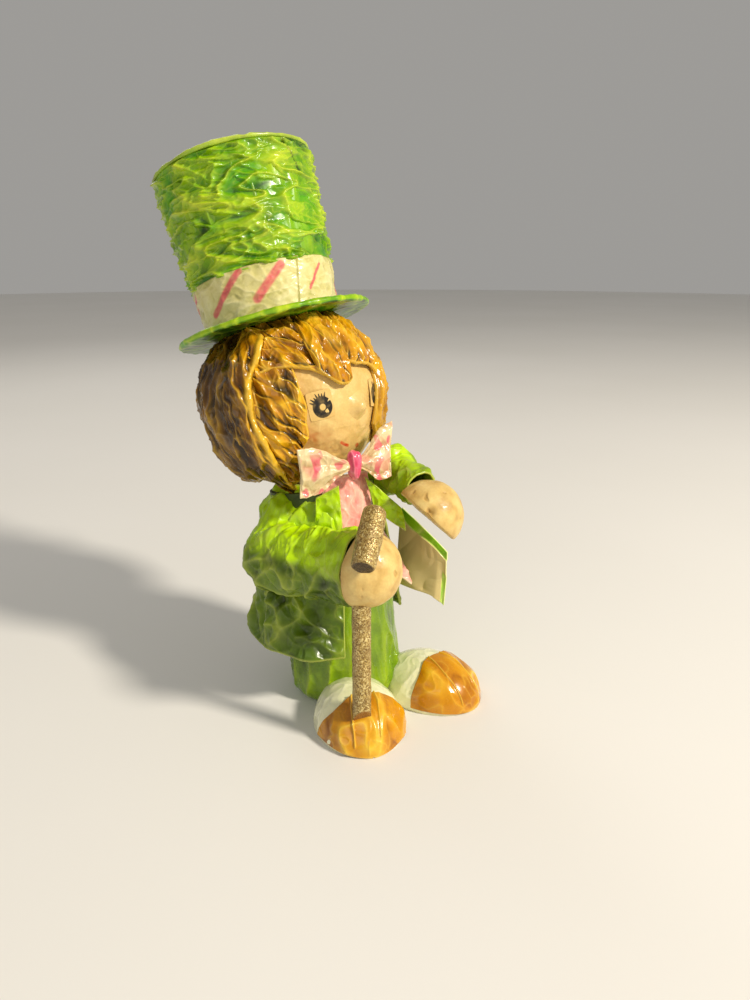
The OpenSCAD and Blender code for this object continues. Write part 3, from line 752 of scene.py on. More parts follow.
hair("lock_left", ([(19, -28), (27, -36), (38, -43), (50, -43), (59, -41)],
    [(59, -41), (60, 0), (60, TOP)], [(28, TOP), (44, TOP), (60, TOP)],
    [(19, -28), (21, -18), (24.5, -5), (26, 4), (28, 20), (28, TOP)]), (230, 110), 53, "hair", lift=0.3,
    fold_height=1.0, lean=-1.0, strands=4.5, pleats=(-10, 4.6, 1.0))


# ---- hat

def brim_profile():
    """Loop of (radius, height) points round the brim's section."""
    r = BRIM_T / 2
    t = np.radians(np.linspace(-90, 90, 15))
    rim = [(BRIM_R - r + r * math.cos(x), BRIM_Z + r + r * math.sin(x)) for x in t]
    inner = np.linspace(BRIM_R - r, BRIM_INNER_R, 26)[1:]
    return [(x, BRIM_Z) for x in inner[::-1]] + rim + [(x, BRIM_Z + BRIM_T) for x in inner]


def brim_detail(p):
    q = HAT.into(p)
    h, fold, crest = crumple(q, 61, [8, 3.5], [0.26, 0.14], (1, 1, 0.6), 0.4)
    r = off_axis(q)
    # under: painted shade on the brim's underside; the outer rim gets painted highlight and stronger pale lines
    under = smooth(-(q[..., 2] - BRIM_Z - 0.6), -0.1, 0.5)
    return h * smooth(r, 21, 27), {"fold": limit(fold + 0.14 + 0.1 * smooth(r, 33, 36) - 0.4 * under),
        "crest": crest * (0.5 + 0.5 * smooth(r, 32, 35.5)), "edge": 0 * r}


def brim():
    p = round_rows(HAT, brim_profile(), 420)
    n = unit(np.cross(np.roll(p, -1, 1) - np.roll(p, 1, 1), np.roll(p, -1, 0) - np.roll(p, 1, 0)))
    top_row = int(np.argmax(HAT.into(p)[:, 0, 2]))
    if np.mean(n[top_row] @ HAT.axes[:, 2]) < 0:
        n = -n
    height, masks = brim_detail(p)
    made = make_mesh("brim_paper", (p + n * height[..., None]).reshape(-1, 3),
        grid_quads(*p.shape[:2], True, True), {k: m.ravel() for k, m in masks.items()})
    finish_piece(made, "hat_brim", "green")


brim()


def crown_point(az, z, grow=0.0):
    share = (z - CROWN_Z) / CROWN_H
    oval = 0.35 * np.sin(np.radians(2 * az + 30)) * smooth(share, 0.2, 1)
    return HAT.out(ring(az, CROWN_R0 + (CROWN_R1 - CROWN_R0) * share + grow + oval, z))


def crown_detail(p, u, v):
    q = HAT.into(p)
    az = azimuth(q)
    lean = 0.12 * off_axis(q) * np.sin(np.radians(az + 60))
    flat = np.stack([q[..., 0], q[..., 1], q[..., 2] + lean], -1)
    h1, f1, c1 = crumple(flat, 71, [7.0, 4.2], [1.7, 0.9], (0.5, 0.5, 1.45), 0.7, 0.75, 9.0)
    h2, f2, c2 = crumple(q, 77, [2.8], [0.3], (0.8, 0.8, 1.2), 0.4, 0.3)
    fold = limit(f1 + 0.15 * (f2 - 0.5) + 0.22 * noise(q / 15, 79))
    tuck = smooth(np.minimum(v, 1 - v), 0, 0.02)
    seam = stroke((az + 180) % 360 - 180, q[..., 2], [(-3, CROWN_TOP + 1), (15, CROWN_TOP - 11)], 0.9, 0.7)
    fold = limit(fold - 0.8 * seam)
    h = np.maximum(h1 + h2 + 0.2 - 0.4 * seam, -0.45)
    return h * tuck, {"fold": fold, "crest": limit(0.9 * c1 + 0.3 * c2)}


def crown_surface(u, v):
    return crown_point(u * 360, CROWN_Z + BAND_H - 0.5 + v * (CROWN_H - BAND_H + 0.5))


finish_piece(sheet("crown_wrap", crown_surface, (170, 440), crown_detail, 0.75, HAT.up(60.0), wrap=True,
    back_rows=6), "crown_paper", "green")


# Painted strokes on the band: azimuth and height of each end, and the stroke's width
BAND_STROKES = (((-88, 5), (-56, 15.8), 1.5), ((-48, 5.5), (-24, 14.6), 1.9), ((-4, 5.5), (12, 13.6), 0.7),
    ((36, 4), (58, 15), 1.6), ((74, 4), (96, 14), 1.2), ((112, 3), (136, 14), 1.7),
    ((150, 4), (170, 13), 1.3), ((-176, 5), (-158, 14), 1.6), ((-136, 3), (-112, 14), 1.4))


def band_detail(p, u, v):
    q = HAT.into(p)
    az = (azimuth(q) + 180) % 360 - 180
    z = q[..., 2] - CROWN_Z
    h, fold, crest = crumple(q, 81, [6.5, 2.6], [0.42, 0.2], (0.8, 0.8, 1.2), 0.5)
    paint = np.zeros(az.shape)
    rate = math.radians(1) * BAND_R
    for (start, low), (end, high), width in BAND_STROKES:
        line = stroke(np.radians(az) * BAND_R, z, [(start * rate, low), (end * rate, high)], width, 0.5)
        paint = np.maximum(paint, line)
    seam = (az + 13.5 + (z - 8) * -0.45)
    lap = 0.35 * smooth(seam, -0.6, 0.2) * (1 - smooth(seam, 1, 30))
    tint = 0.35 * (1 - smooth(z, 0, 2.5)) + 0.3 * smooth(z, 14, 16)
    line = 1 - smooth(np.abs(seam), 0.15, 0.7)
    return h + lap, {"fold": limit(fold - 0.6 * line), "crest": crest, "paint": paint * 0.85, "tint_and_shading": tint}


def band_surface(u, v):
    return crown_point(u * 360, CROWN_Z - 0.1 + v * (BAND_H + 0.6), 0.35)


finish_piece(sheet("band_wrap", band_surface, (64, 480), band_detail, 1.0, HAT.up(38.0), wrap=True,
    back_rows=4, edge_soft=0.5), "hat_band", "band")


def lid_profile():
    z, r, t = CROWN_TOP, LID_R, LID_T
    rim = [(r - 0.4 + 0.55 * math.cos(math.radians(x)), z + t / 2 + t / 2 * math.sin(math.radians(x)))
        for x in np.linspace(90, -90, 11)]
    return ([(x, z + t) for x in np.linspace(0, r - 0.4, 60)] + rim[1:-1]
        + [(x, z) for x in np.linspace(r - 0.4, 0, 14)])


def lid_detail(p):
    q = HAT.into(p)
    r = off_axis(q)
    az = np.arctan2(q[..., 0], -q[..., 1])
    h, fold, crest = crumple(q, 91, [9, 4, 2], [0.7, 0.35, 0.14], (1, 1, 0.5), 0.5)
    top = smooth(q[..., 2], CROWN_TOP + 0.4, CROWN_TOP + 1.2)
    rim = smooth(r, 28.0, 28.5)
    return h * top * (1 - 0.6 * rim) + 0.15 * np.sin(az * 5) * rim, {"fold": fold, "crest": limit(crest),
        "edge": rim * 0.75 * (0.6 + 0.4 * top)}


lid_middle = HAT.up(CROWN_TOP + 0.6)
finish_piece(lump("lid_paper", round_rows(HAT, lid_profile(), 300), lid_detail, lid_middle), "hat_lid",
    "green")


# ---- trousers

def column_point(az, z, grow):
    """Point on the column at a height along the body, which rounds off towards its foot."""
    rise = np.clip(FOOT_DROP + FOOT_ROUND - z, 0, FOOT_ROUND)
    r = TROUSER_R - FOOT_ROUND + np.sqrt(np.maximum(FOOT_ROUND ** 2 - rise ** 2, 0))
    return BODY.out(ring(az, r + grow, z))


def trousers_surface(u, v):
    az = u * 360
    z = np.linspace(FOOT_DROP + 0.05, 12, 160)
    heights = column_point(az[0][:, None] + 0 * z, z[None] + 0 * az[0][:, None], 0)[..., 2]
    start = np.array([np.interp(0.0, row, z) for row in heights])
    return column_point(az, start + v * (TROUSER_TOP - start), 0)


def trousers_detail(p, u, v):
    q = BODY.into(p)
    h1, f1, c1 = crumple(q, 101, [10, 5], [0.9, 0.35], (1, 1, 0.22), 0.5, 0.8)
    h2, f2, c2 = crumple(q, 105, [4.0], [0.12], (1, 1, 0.6), 0.4, 0.3)
    foot = smooth(p[..., 2], 0, 4)
    return (h1 + h2 + 0.1) * foot, {"fold": limit(0.8 * f1 + 0.2 * f2 - 0.05), "crest": 0.6 * c1}


finish_piece(sheet("trouser_wrap", trousers_surface, (120, 320), trousers_detail, 0.9, BODY.up(20.0),
    wrap=True, back_rows=10, edge_soft=0.4), "trousers", "trousers")


# ---- coat

def coat_point(az, height, grow=COAT_T):
    """Point on the coat's outer face, at a height along its own axis."""
    share = height / COAT_LENGTH
    return COAT.out(ring(az, COAT_R_HEM + (COAT_R_TOP - COAT_R_HEM) * share + grow, height))


def coat_surface(start, end, ragged):
    """Coat panel between two azimuths, with a ragged hem."""
    def surface(u, v):
        az = start + u * (end - start)
        edge = HEM_H + ragged * (0.5 * np.sin(np.radians(az * 4)) + 0.5 * np.sin(np.radians(az * 9 + 50)))
        base = COAT.out(ring(az, COAT_R_HEM + COAT_T, 0.0))[..., 2]
        low = (edge - base) / COAT.axes[2, 2]
        height = low + v * (COAT_LENGTH - low)
        flare = 1.3 * (1 - smooth(height, -2, 16)) * (0.4 + 0.6 * np.sin(np.radians(az * 5 + 20)))
        slope = smooth(v, 0.86, 1.0)              # the shoulder turns in under the hair
        return coat_point(az, height + 7.5 * slope * (1 - 0.2 * slope), COAT_T + flare - 6.5 * slope ** 1.6)
    return surface


def coat_detail(seed, sizes=(14, 8, 4), heights=(2.4, 1.3, 0.5), stretch=(1, 1, 0.9), lime=0.0):
    def detail(p, u, v):
        q = COAT.into(p)
        h, fold, crest = crumple(q, seed, sizes, heights, stretch, 0.3, 0.12)
        edge = border(u, v, 30, 24)
        # painted highlight: lime over the top of the coat; lime gives its least amount all over a piece, as on the
        # lapels
        painted = np.maximum(smooth(p[..., 2], 60, 74), lime) * (0.75 + 0.6 * noise(q / 7, seed + 9))
        return h * (0.3 + 0.7 * edge), {"fold": fold, "crest": crest, "tint_and_shading": np.clip(painted, 0, 0.9),
            "edge": 0.5 * (1 - smooth(edge, 0, 0.12))}
    return detail


coat_middle = COAT.up(25.0)
finish_piece(sheet("coat_back_panel", coat_surface(92, 262, 0.7), (150, 330), coat_detail(111), COAT_T,
    coat_middle), "coat_back", "green_coat")
finish_piece(sheet("coat_front_right_panel", coat_surface(-98.5, -28, 0.8), (170, 170), coat_detail(113),
    COAT_T, coat_middle), "coat_front_right", "green_coat")


def front_left_surface(u, v):
    az = 56 + 36 * u
    height = HEM_H + 4 + v * (FRONT_LEFT_TOP - HEM_H - 4)
    return BODY.out(ring(az, COAT_R_TOP + 2.5 - 2.5 * v + COAT_T, height))


finish_piece(sheet("coat_front_left_panel", front_left_surface, (120, 80),
    coat_detail(115, (11, 5, 2.4), (1.5, 0.7, 0.25)), COAT_T, BODY.up(50.0)), "coat_front_left",
    "green_coat")


FLAP_FRAME = Frame([19.4, -5.4, 0], turn("y", 5) @ turn("z", 4))


def flap_surface(u, v):
    """The loose half of the left front; u runs from the coat out to the front."""
    bottom = [(0, 38), (7, 38), (13, 37.4), (17, 36.8), (20, 32.5)]
    top = [(0, 68), (7, 65.4), (14, 61), (21.6, 55.2)]
    left = [(0, 38), (0, 50), (0, 68)]
    right = [(20, 32.5), (21.2, 44), (21.6, 55.2)]
    xy = coons(bottom, right, top, left)(u, v)
    curl = 1.3 * np.sin(u * math.pi * 1.4) + 1.6 * (u - 0.5) * (v - 0.5) - 2.4 * smooth(u, 0.8, 1) * (1 - v)
    return FLAP_FRAME.out(np.stack([-curl, -xy[..., 0], xy[..., 1]], -1))


def flap_detail(p, u, v):
    q = FLAP_FRAME.into(p)
    h, fold, crest = crumple(p, 121, [15, 6], [0.9, 0.15], (1, 1, 0.8), 0.5)
    edge = border(u, v, 14, 14)
    # the strip folded over along the top
    turned = q[..., 2] + 0.62 * (-q[..., 1]) + 0.8 * np.sin(u * 7)
    strip = np.maximum(smooth(turned, 65.6, 66.0), smooth(u, 0.9, 0.93) * (1 - smooth(v, 0.5, 0.62)))
    lip = np.exp(-((turned - 65.7) / 0.45) ** 2)
    return h * (0.25 + 0.75 * edge) + 0.5 * strip, {"fold": fold, "crest": np.maximum(crest, lip),
        "side": 1 - strip}


finish_piece(sheet("coat_flap_left_sheet", flap_surface, (110, 120), flap_detail, 0.8, [0, -20, 50]),
    "coat_flap_left", "flap")


# ---- sleeves

def round_cone(p, a, b, ra, rb):
    """Distance from a solid that runs from a to b and changes from radius ra to rb."""
    a, b = np.array(a, float), np.array(b, float)
    d = b - a
    t = np.clip(((p - a) @ d) / (d @ d), 0, 1)
    return np.linalg.norm(p - a - t[..., None] * d, axis=-1) - (ra + (rb - ra) * t)


def joined(a, b, k):
    """Smooth union of two distances."""
    h = limit(0.5 + 0.5 * (b - a) / k)
    return b + (a - b) * h - k * h * (1 - h)


def cast(solid, start, direction, reach):
    """Surface points of a solid, met by rays that come in from reach along a direction."""
    far = np.full(start.shape[:-1], float(reach))
    for _ in range(40):
        far = far - solid(start + far[..., None] * direction) * 0.9
    return start + far[..., None] * direction


def sleeve(node, joints, radii, rows, columns, detail, cap_share=0.3, blend_mm=4.0, peak=0.0):
    """Paper sleeve round a bent arm: closed at the elbow end, open at the cuff."""
    shoulder, elbow, cuff = (np.array(j, float) for j in joints)
    axis = unit(cuff - elbow)
    frame_of = Frame(elbow, basis(axis))
    length = float(np.linalg.norm(cuff - elbow))

    def solid(p):
        fore = round_cone(p, elbow, cuff + axis * 6, radii[1], radii[2])
        return joined(fore, round_cone(p, shoulder, elbow, radii[0], radii[1]), blend_mm)

    up_axis = unit(np.array([0, 0, 1.0]) - axis * axis[2])

    a = full_turn(columns)
    share = np.linspace(0, 1, rows)
    starts, ways = [], []
    for s in share:
        tip = math.radians(90 * s / cap_share) if s < cap_share else 0
        way = ring(a, math.sin(tip), -math.cos(tip)) if s < cap_share else ring(a, 1.0, 0.0)
        along = 0 if s < cap_share else (s - cap_share) / (1 - cap_share) * length
        starts.append(frame_of.out(np.zeros((columns, 3)) + [0, 0, along]))
        ways.append(way @ frame_of.axes.T)
    p = cast(solid, np.array(starts), np.array(ways), 30)
    n = outward(grid_normals(p, True), p, elbow)
    height, masks = detail(p, share[:, None] + 0 * a, a)
    upward = limit(n @ up_axis)
    height = height + peak * smooth(upward, 0.75, 1.0) * smooth(share, cap_share * 0.6, cap_share)[:, None]
    outer = p + n * height[..., None]
    outer[0] = outer[0].mean(0)
    inner = outer[::-1] - n[::-1] * 1.0
    inner[-1] = inner[-1].mean(0)
    lip = (outer[-1] + inner[0]) / 2 + unit(outer[-1] - outer[-2]) * 0.3
    points = np.concatenate([outer, lip[None], inner])
    made = {}
    for key, m in {"edge": 0 * height, **masks}.items():
        rim = np.full((1, columns), 0.9 if key == "edge" else 0.5)
        made[key] = np.concatenate([m, rim, m[::-1]]).ravel()
    quads = grid_quads(len(points), columns, False, True)
    finish_piece(make_mesh(f"{node}_paper", points.reshape(-1, 3), quads, made, weld=True), node,
        "green_coat")


SHOULDER_R, ELBOW_R, CUFF_R = (-17, 15, 70), (-24, 11, 57.5), (-21.6, -28.8, 62.8)
SHOULDER_L, ELBOW_L, CUFF_L = (18, 5, 79), (22, -3.5, 84), (16.5, -21.4, 81.2)


def sleeve_detail(seed, along, sizes, heights, lime=0.0):
    axes = basis(along)

    def detail(p, share, a):
        q = p @ axes
        h, fold, crest = crumple(q, seed, sizes, heights, (0.9, 0.9, 1.0), 0.3, 0.15)
        fine, _, lines = crumple(q, seed + 5, [3.4], [0.55], (0.28, 0.28, 1.0), 0.5, 0.6)
        end = smooth(1 - share, 0, 0.03)
        # up: the top of the sleeve, which gets finer crinkles, pale lines and a lime painted highlight; lime gives
        # its least amount all over
        up = np.maximum(smooth(p[..., 2] - p[..., 2].mean(), 2, 8), lime)
        h = h + fine * up
        crest = np.maximum(crest, 0.9 * lines * up)
        return h * (0.4 + 0.6 * end), {"fold": fold, "crest": crest,
            "tint_and_shading": np.clip(up * (0.85 + 0.5 * noise(p / 5, seed + 9)), 0, 0.95)}
    return detail


sleeve("sleeve_right", (SHOULDER_R, ELBOW_R, CUFF_R), (8, 11.0, 12.2), 224, 216,
    sleeve_detail(131, np.subtract(CUFF_R, ELBOW_R), (12, 6.5, 3.5), (2.0, 1.1, 0.45)), peak=1.6)
sleeve("sleeve_left", (SHOULDER_L, ELBOW_L, CUFF_L), (7.5, 7.5, 6.4), 150, 160,
    sleeve_detail(133, np.subtract(CUFF_L, ELBOW_L), (8, 4.5), (1.2, 0.6), 0.45))


# ---- shirt, vest and lapels

def shirt_surface(u, v):
    az = -43 + 54 * u
    return BODY.out(ring(az, TUBE_R + 1.1, TROUSER_TOP + v * (SHIRT_TOP - TROUSER_TOP)))


def pink_detail(seed, heights=(0.7, 0.4, 0.16)):
    def detail(p, u, v):
        h, fold, crest = crumple(p, seed, [7, 3.4, 1.7], heights, (1, 1, 0.7), 0.5)
        edge = border(u, v, 16, 16)
        return h * (0.3 + 0.7 * edge), {"fold": fold, "crest": crest,
            "edge": 0.6 * (1 - smooth(edge, 0, 0.3))}
    return detail


finish_piece(sheet("shirt_paper", shirt_surface, (150, 110), pink_detail(141), 1.0, BODY.up(60.0)),
    "shirt_front", "pink")


def vest(node, az, top, tip, swing, seed):
    """Point of the vest, as a leaf that swings out from its top edge."""
    place = Frame(BODY.at, BODY.axes @ turn("z", az))

    def surface(u, v):
        bottom = [(-5, tip + 9), (-2, tip + 4.5), (1, tip), (3.5, tip + 4), (5.5, tip + 7)]
        xz = coons(bottom, [(5.5, tip + 7), (5.2, -5), (5, 0)], [(-5, 0), (0, 0.3), (5, 0)],
            [(-5, tip + 9), (-5, -4), (-5, 0)])(u, v)
        out = -VEST_R - 0.4 + 0.05 * xz[..., 0] ** 2
        local = np.stack([xz[..., 0], out, xz[..., 1]], -1) + [0, VEST_R, 0]
        return place.out(local @ turn("x", -swing).T + [0, -VEST_R, top])

    made = sheet(f"{node}_point", surface, (90, 60), pink_detail(seed, (0.5, 0.3, 0.12)), 0.8,
        BODY.up(50.0))
    finish_piece(made, node, "pink")


vest("vest_right", -26, 62, -20, 3, 143)
vest("vest_left", 14, 62, -24, 28, 145)


def lapel_right_surface(u, v):
    corners = coons([(-5, -16), (-1, -17.5), (3, -15)], [(3, -15), (5, -8), (4, 6)],
        [(-4, 2), (0, 4), (4, 6)], [(-5, -16), (-4.5, -6), (-4, 2)])
    xz = corners(u, v)
    place = Frame(BODY.at, BODY.axes @ turn("z", -40))
    local = np.stack([xz[..., 0], -0.5 + 0.03 * xz[..., 0] ** 2 + 0.9 * (1 - v), xz[..., 1]],
        -1) @ turn("y", 6).T
    return place.out(local + [0, -TUBE_R - 3.4, 76])


finish_piece(sheet("lapel_right_paper", lapel_right_surface, (80, 60),
    coat_detail(151, (6, 3.2), (0.9, 0.45), lime=0.8), 0.9, BODY.up(70.0)), "lapel_right", "green_coat")


def lapel_left_surface(u, v):
    bottom = [(4.6, -9.9, 73.6), (8, -14.4, 69.4), (12.4, -18.2, 65.4)]
    top = [(2.4, -7.4, 85.6), (6.6, -11.8, 80.4), (12.6, -15.8, 73.6)]
    return coons(bottom, [bottom[-1], (12.8, -17.4, 69.6), top[-1]], top,
        [bottom[0], (3.6, -8.9, 79.5), top[0]])(u, v)


finish_piece(sheet("lapel_left_paper", lapel_left_surface, (80, 60),
    coat_detail(153, (6, 3.2), (0.9, 0.45), lime=0.8), 0.9, [20, -8, 80]), "lapel_left", "green_coat")


# ---- bow tie

BOW_AT = np.array([-4.2, -8.6, 92])


def wing(node, root, upper, lower, seed, bulge, pleats):
    """Folded paper loop of the bow: wide at its outer fold and gathered at the knot."""
    root, upper, lower = (np.array(x, float) for x in (root, upper, lower))
    side = unit(np.cross(upper - root, lower - root))
    if side[1] > 0:
        side = -side
    rows, columns = 90, 150
    s = np.linspace(0, 1, rows)[:, None]
    a = np.linspace(0, 2 * math.pi, columns, endpoint=False)[None, :]
    x = np.cos(a) * 0.5 + 0.5                     # 0 at the lower edge, 1 at the upper one
    spread = 0.2 + 0.8 * smooth(s, 0.0, 0.75)
    mid = root + s[..., None] * ((upper + lower) / 2 - root)
    notch = 1 - 0.07 * (1 - (2 * x - 1) ** 2) * s
    along_edge = (upper - lower) * ((x - 0.5) * spread)[..., None]
    p = root + (mid - root) * notch[..., None] + along_edge
    flat = np.sign(np.sin(a)) * np.abs(np.sin(a)) ** 0.45
    swell = bulge * (0.55 + 0.45 * np.sin(math.pi * limit(s * 0.9 + 0.1)))
    fan = np.abs(((x * pleats + 0.25) % 1) * 2 - 1)
    crease = (fan - 0.5) * 1.9 * smooth(s, 0.0, 0.25) * (1 - 0.35 * s)
    p = p + side * (flat * swell * (0.35 + 0.65 * (1 - np.abs(2 * x - 1))) + crease)[..., None]
    core = root + 0.5 * ((upper + lower) / 2 - root)
    n = outward(grid_normals(p, True), p, core)
    h, fold, crest = crumple(p, seed, [6, 2.8], [0.45, 0.2], (1, 1, 1), 0.5)
    p = p + n * h[..., None]
    ends = [p[0].mean(0)[None] + 0 * p[:1], p[-1].mean(0)[None] + 0 * p[:1]]
    p = np.concatenate([ends[0], p, ends[1]])
    smear = smooth(noise(p / [5.5, 5.5, 6.0], seed + 5), 0.0, 0.45)
    streak = smooth(noise(p / [3.4, 3.4, 5.0], seed + 9), 0.26, 0.42)
    pad = lambda m: np.concatenate([m[:1], m, m[-1:]])
    # valley: the pleat valleys, darker as painted shade, where more of the pink streaks lie
    valley = pad((1 - fan) * smooth(s, 0, 0.3))
    outer = pad(smooth(s + 0 * a, 0.94, 1.0))
    masks = {"fold": limit(pad(fold) + 0.15 - 0.35 * valley), "crest": pad(crest) * 0.7,
        "tint_and_shading": 0.55 * smear * (1 - 0.6 * outer), "paint": np.clip(0.8 * streak * valley + 0.4 * streak,
        0, 0.8), "edge": 0.5 * outer}
    obj = make_mesh(f"{node}_paper", p.reshape(-1, 3), grid_quads(rows + 2, columns, False, True),
        {k: (m + 0 * p[..., 0]).ravel() for k, m in masks.items()}, weld=True)
    finish_piece(obj, node, "bow")


wing("bow_wing_right", BOW_AT + [-1.2, 0.3, 0], (-23.6, -0.5, 99.4), (-24.2, -2, 83), 161, 1.3, 2.0)
wing("bow_wing_left", BOW_AT + [1.2, -0.4, 0.3], (13, -10.6, 105), (9.2, -13.8, 86), 163, 1.3, 2.0)


KNOT = Frame(BOW_AT, turn("z", -20))


def knot_rows():
    a, rows = np.radians(full_turn(96)), []
    for t in np.radians(np.linspace(0, 180, 60)):
        y, r = math.cos(t), math.sin(t) ** 0.62
        rows.append(np.stack([(2.55 + 0.45 * y) * r * np.sin(a), -2.5 * r * np.cos(a), 5.0 * y + 0 * a],
            -1))
    return KNOT.out(np.array(rows))


def knot_detail(p):
    h, fold, crest = crumple(KNOT.into(p), 165, [3.4, 1.7], [0.5, 0.2], (1, 1, 0.35), 0.5)
    return h, {"fold": fold, "crest": crest}


finish_piece(lump("bow_knot_paper", knot_rows(), knot_detail, BOW_AT), "bow_knot", "knot")


# ---- hands and cane

def hand_profile():
    """Outline of half a ball with a softened rim, as (radius, height)."""
    r, soft = HAND_R, 0.7
    dome = [(r * math.sin(t), r * math.cos(t)) for t in np.radians(np.linspace(0, 86, 90))]
    corner = [(r - soft + soft * math.cos(t), soft * math.sin(t))
        for t in np.radians(np.linspace(0, -90, 9))]
    return dome + corner + [(x, -soft * 0.98) for x in np.linspace(r - soft, 0, 22)[1:]]


def hand(node, frame_of, seed, chip=None):
    """Half ball; chip is the place where a piece of its rim is broken off."""
    def detail(p):
        q = frame_of.into(p)
        bumps = 0.16 * clouds(q / 6, seed, 2) + 0.05 * clouds(q / 1.6, seed + 1, 2)
        pits = -0.28 * smooth(noise(q / 2.6, seed + 2), 0.55, 0.85)
        h, _, crest = crumple(q, seed + 5, [9], [0.22], (1, 1, 1), 0.6)
        worn = 0 * h
        if chip is not None:
            near = np.exp(-np.sum((q - np.array(chip)) ** 2, -1) / 3.2)
            bumps = bumps - 1.3 * near
            worn = 0.8 * smooth(near, 0.25, 0.7)
        rim = np.exp(-(q[..., 2] / 0.7) ** 2) * smooth(off_axis(q), 11.6, 12.4)
        # the pits are darker in colour too: painted shade
        return bumps + pits + h * 0.5, {"fold": limit(0.5 + 0.4 * clouds(q / 5, seed + 3, 2) + 1.2 * pits),
            "crest": crest * 0.3, "edge": limit(0.35 * rim + worn)}

    made = lump(f"{node}_ball", round_rows(frame_of, hand_profile(), 260), detail, frame_of.up(5.0))
    finish_piece(made, node, "hand")


hand("hand_right", HAND_RIGHT, 171)
hand("hand_left", HAND_LEFT, 173, chip=(-10.6, -6.4, 0.4))


def stick(node, frame_of, profile, cut_rows, seed, dent, whittled=None):
    """Glittered stick. cut_rows are the rows of the profile at its cut ends, coloured dark as painted shade.
    whittled is a flat cut near its foot: the way it faces, the height where it starts and how fast it goes in,
    downwards."""
    rows = round_rows(Frame([0, 0, 0], np.eye(3)), profile, 84)
    bare, dark = np.zeros(rows.shape[:2]), np.zeros(rows.shape[:2])
    if whittled is not None:
        facing, start, rate = whittled
        way = ring(facing, 1.0, 0.0)
        radius = max(r for r, _ in profile)
        past = rows @ way - (radius - np.maximum(start - rows[..., 2], 0) * rate)
        bare = smooth(past, 0.0, 0.15)
        rows = rows - np.maximum(past, 0)[..., None] * way
    for start, stop in cut_rows:
        dark[start:stop] = 0.9

    def detail(p):
        flakes = 0.07 * noise(p / 0.45, seed)
        return dent * clouds(p / 3.5, seed + 1, 2) + flakes, {"edge": dark, "paint": bare * 0.8}

    made = lump(f"{node}_glitter", frame_of.out(rows), detail, frame_of.out(rows.mean((0, 1))))
    finish_piece(made, node, "glitter")


def rod_profile(radius, low, high, barrel=0.0, soft=0.5, rows=110):
    """Outline of a round stick with softened ends, as (radius, height); barrel swells its middle."""
    side = [(radius + barrel * math.sin(math.pi * x), low + soft + (high - low - 2 * soft) * x)
        for x in np.linspace(0, 1, rows)]
    inward = np.linspace(0, 1 - soft / radius, 9)
    shoulder = radius - soft * 0.3
    return ([(radius * x, low) for x in inward] + [(shoulder, low + soft * 0.3)] + side
        + [(shoulder, high - soft * 0.3)] + [(radius * x, high) for x in inward[::-1]])


SHAFT = Frame([-26.6, -32.5, 0], np.eye(3))
HANDLE = Frame([-27.5, -36.9, 78.7], basis([0.69, 0.39, 0.6]))
stick("cane_shaft", SHAFT, rod_profile(3.15, 8.4, 55.5), [], 181, 0.14, whittled=(-32, 16.5, 0.62))
stick("cane_handle", HANDLE, rod_profile(3.75, -10.5, 10.5, 0.35, 0.7), [(0, 9), (-9, None)], 183, 0.2)


# ---- shoes

SHOE = np.array([16, 20.5, 15.5])
# How far the toe cap reaches back from the tip of the toe, in degrees round the shoe
CAP_REACH = {"right": 74, "left": 84}
# The two long folds over the toe cap: points on the shoe, across and front to back, and a width
TOE_FOLDS = (([(-2, 0), (-5, -10), (-6, -19)], 0.45), ([(3, 1), (4.5, -9), (3, -19)], 0.4))
SHOES = {"right": Frame([-17, -21.5, 0], turn("z", -32)), "left": Frame([17, -27, 0], turn("z", 5))}


def egg_profile(rows):
    """Half egg of unit size with a small rounding at its lower edge, as (radius, height)."""
    t = np.radians(np.linspace(0, 90, rows))
    dome = [(math.sin(x), math.cos(x)) for x in t]
    low = [(0.992, -0.0)] + [(x, 0.0) for x in np.linspace(0.96, 0, 14)]
    return dome + low


def shoe(side, seed):
    frame_of = SHOES[side]
    a = full_turn(300)
    p = frame_of.out(np.array([ring(a, r, z) * SHOE for r, z in egg_profile(110)]))

    def detail(p):
        q = frame_of.into(p)
        above = smooth(q[..., 2], 0.0, 1.2)
        h, fold, crest = crumple(q, seed, [10, 4], [0.4, 0.15], (1, 1, 1), 0.5)
        return (h + 0.12 * clouds(q / 7, seed + 2, 2)) * above, {"fold": limit(0.45 + 0.35 * fold),
            "crest": crest * 0.4}
    made = lump(f"shoe_{side}_pulp", p, detail, frame_of.up(5.0))
    finish_piece(made, f"shoe_{side}", "shoe")

    def cap_surface(u, v):
        # rings round the tip of the toe: u goes over the shoe from side to side, v back to the cap's edge
        over = np.radians((u - 0.5) * 2 * 84)
        edge = CAP_REACH[side] + 2.0 * np.sin(u * 8 + seed) + 1.2 * np.sin(u * 19)
        back = np.radians(1.5 + v * (edge - 1.5))
        p = np.stack([np.sin(back) * np.sin(over), -np.cos(back), np.sin(back) * np.cos(over)], -1)
        return frame_of.out(p * (SHOE + 0.8))

    def cap_detail(p, u, v):
        q = frame_of.into(p)
        h, fold, crest = crumple(q, seed + 20, [9, 4.5], [0.8, 0.3], (1, 0.45, 0.8), 0.4, 0.4, lowest=-0.3)
        lines = sum(stroke(q[..., 0], q[..., 1], path, width, 0.9) for path, width in TOE_FOLDS)
        low = smooth(q[..., 2], 0.2, 2.0)
        return (h + 0.5 * lines) * low, {"fold": limit(fold + 0.05), "crest": limit(crest + 0.7 * lines),
            "edge": 0.8 * (1 - smooth(q[..., 2], 0.3, 0.9))}
    made = sheet(f"toe_cap_{side}_paper", cap_surface, (110, 200), cap_detail, 0.5, frame_of.up(4.0))
    finish_piece(made, f"toe_cap_{side}", "toe")


shoe("right", 191)
shoe("left", 193)


# ---- inner CAD pieces

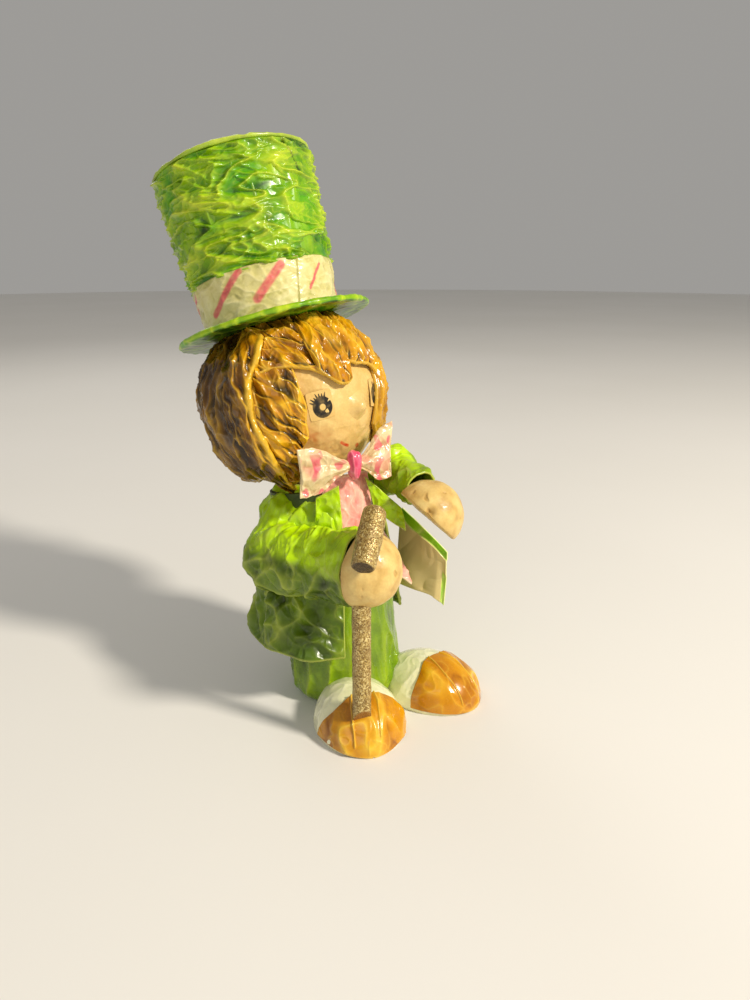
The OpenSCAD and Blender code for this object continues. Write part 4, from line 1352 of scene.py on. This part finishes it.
for node, look in {"base_plug": "card", "body_tube": "shade_dark_card", "shoulder_plug": "shade_dark_card",
        "head_ball": "card", "hat_crown": "shade_dark_card", "neck_dowel": "dowel", "arm_wire_right": "wire",
        "arm_wire_left": "wire"}.items():
    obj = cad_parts[node]
    obj.data.materials.clear()
    obj.data.materials.append(LOOKS[look])


# ---- floor, light and camera

FLOOR_RADIUS, FLOOR_GAP = 3.0, 0.00005        # in metres


def floor():
    b = bmesh.new()
    bmesh.ops.create_circle(b, cap_ends=True, segments=96, radius=FLOOR_RADIUS)
    mesh = bpy.data.meshes.new("floor")
    b.to_mesh(mesh)
    b.free()
    obj = add_object("floor", mesh)
    k = Look("pale_floor")
    colour = k.ramp(k.texture(3.0, 4.0), [(0.3, rgb(226, 224, 219)), (0.7, rgb(230, 228, 224))])
    fine = k.texture(600, 2.0)
    k.bump((fine, 0.05, 0.0002))
    obj.data.materials.append(k.finish(colour, k.remap(fine, 0.3, 0.7, 0.55, 0.65), specular=0.3))
    obj.location.z = -FLOOR_GAP


MIDDLE = (0.0, 0.0, 0.1)


def area_light(name, at, size, watts, colour):
    """Round lamp that looks at the middle of the figure."""
    light = bpy.data.lights.new(name, "AREA")
    light.shape, light.size, light.energy, light.color = "DISK", size, watts, colour
    obj = add_object(name, light)
    obj.location = at
    obj.rotation_euler = (Vector(MIDDLE) - Vector(at)).to_track_quat("-Z", "Y").to_euler()


floor()
area_light("key", (0.27, -1.16, 0.95), 0.2, 25.0, (1.0, 0.92, 0.79))
area_light("fill", (-0.75, -0.35, 0.45), 0.6, 1.0, (1.0, 0.97, 0.93))
area_light("back", (0.2, 0.8, 0.7), 0.6, 1.5, (1.0, 0.96, 0.9))

WORLD_STRENGTH = 0.42
world = bpy.data.worlds.new("studio")
bpy.context.scene.world = world
world.use_nodes = True
world.node_tree.nodes["Background"].inputs["Color"].default_value = rgb(232, 229, 224)
world.node_tree.nodes["Background"].inputs["Strength"].default_value = WORLD_STRENGTH
bpy.context.scene.view_settings.view_transform = "Standard"

# Camera of the photo, fitted to its outlines: place in mm, heading and downward pitch in degrees, lens in mm
CAMERA_AT = np.array([-185.4, -183.0, 163.3])
CAMERA_HEADING, CAMERA_PITCH, CAMERA_LENS, SENSOR_WIDTH = 47.7, 18.52, 27.04, 36


def camera():
    data = bpy.data.cameras.new("camera")
    data.lens, data.sensor_width = CAMERA_LENS, SENSOR_WIDTH
    data.clip_start, data.clip_end = 0.01, 20
    obj = add_object("camera", data)
    obj.location = CAMERA_AT * MM
    obj.rotation_euler = (math.radians(90 - CAMERA_PITCH), 0, -math.radians(CAMERA_HEADING))
    bpy.context.scene.camera = obj


camera()
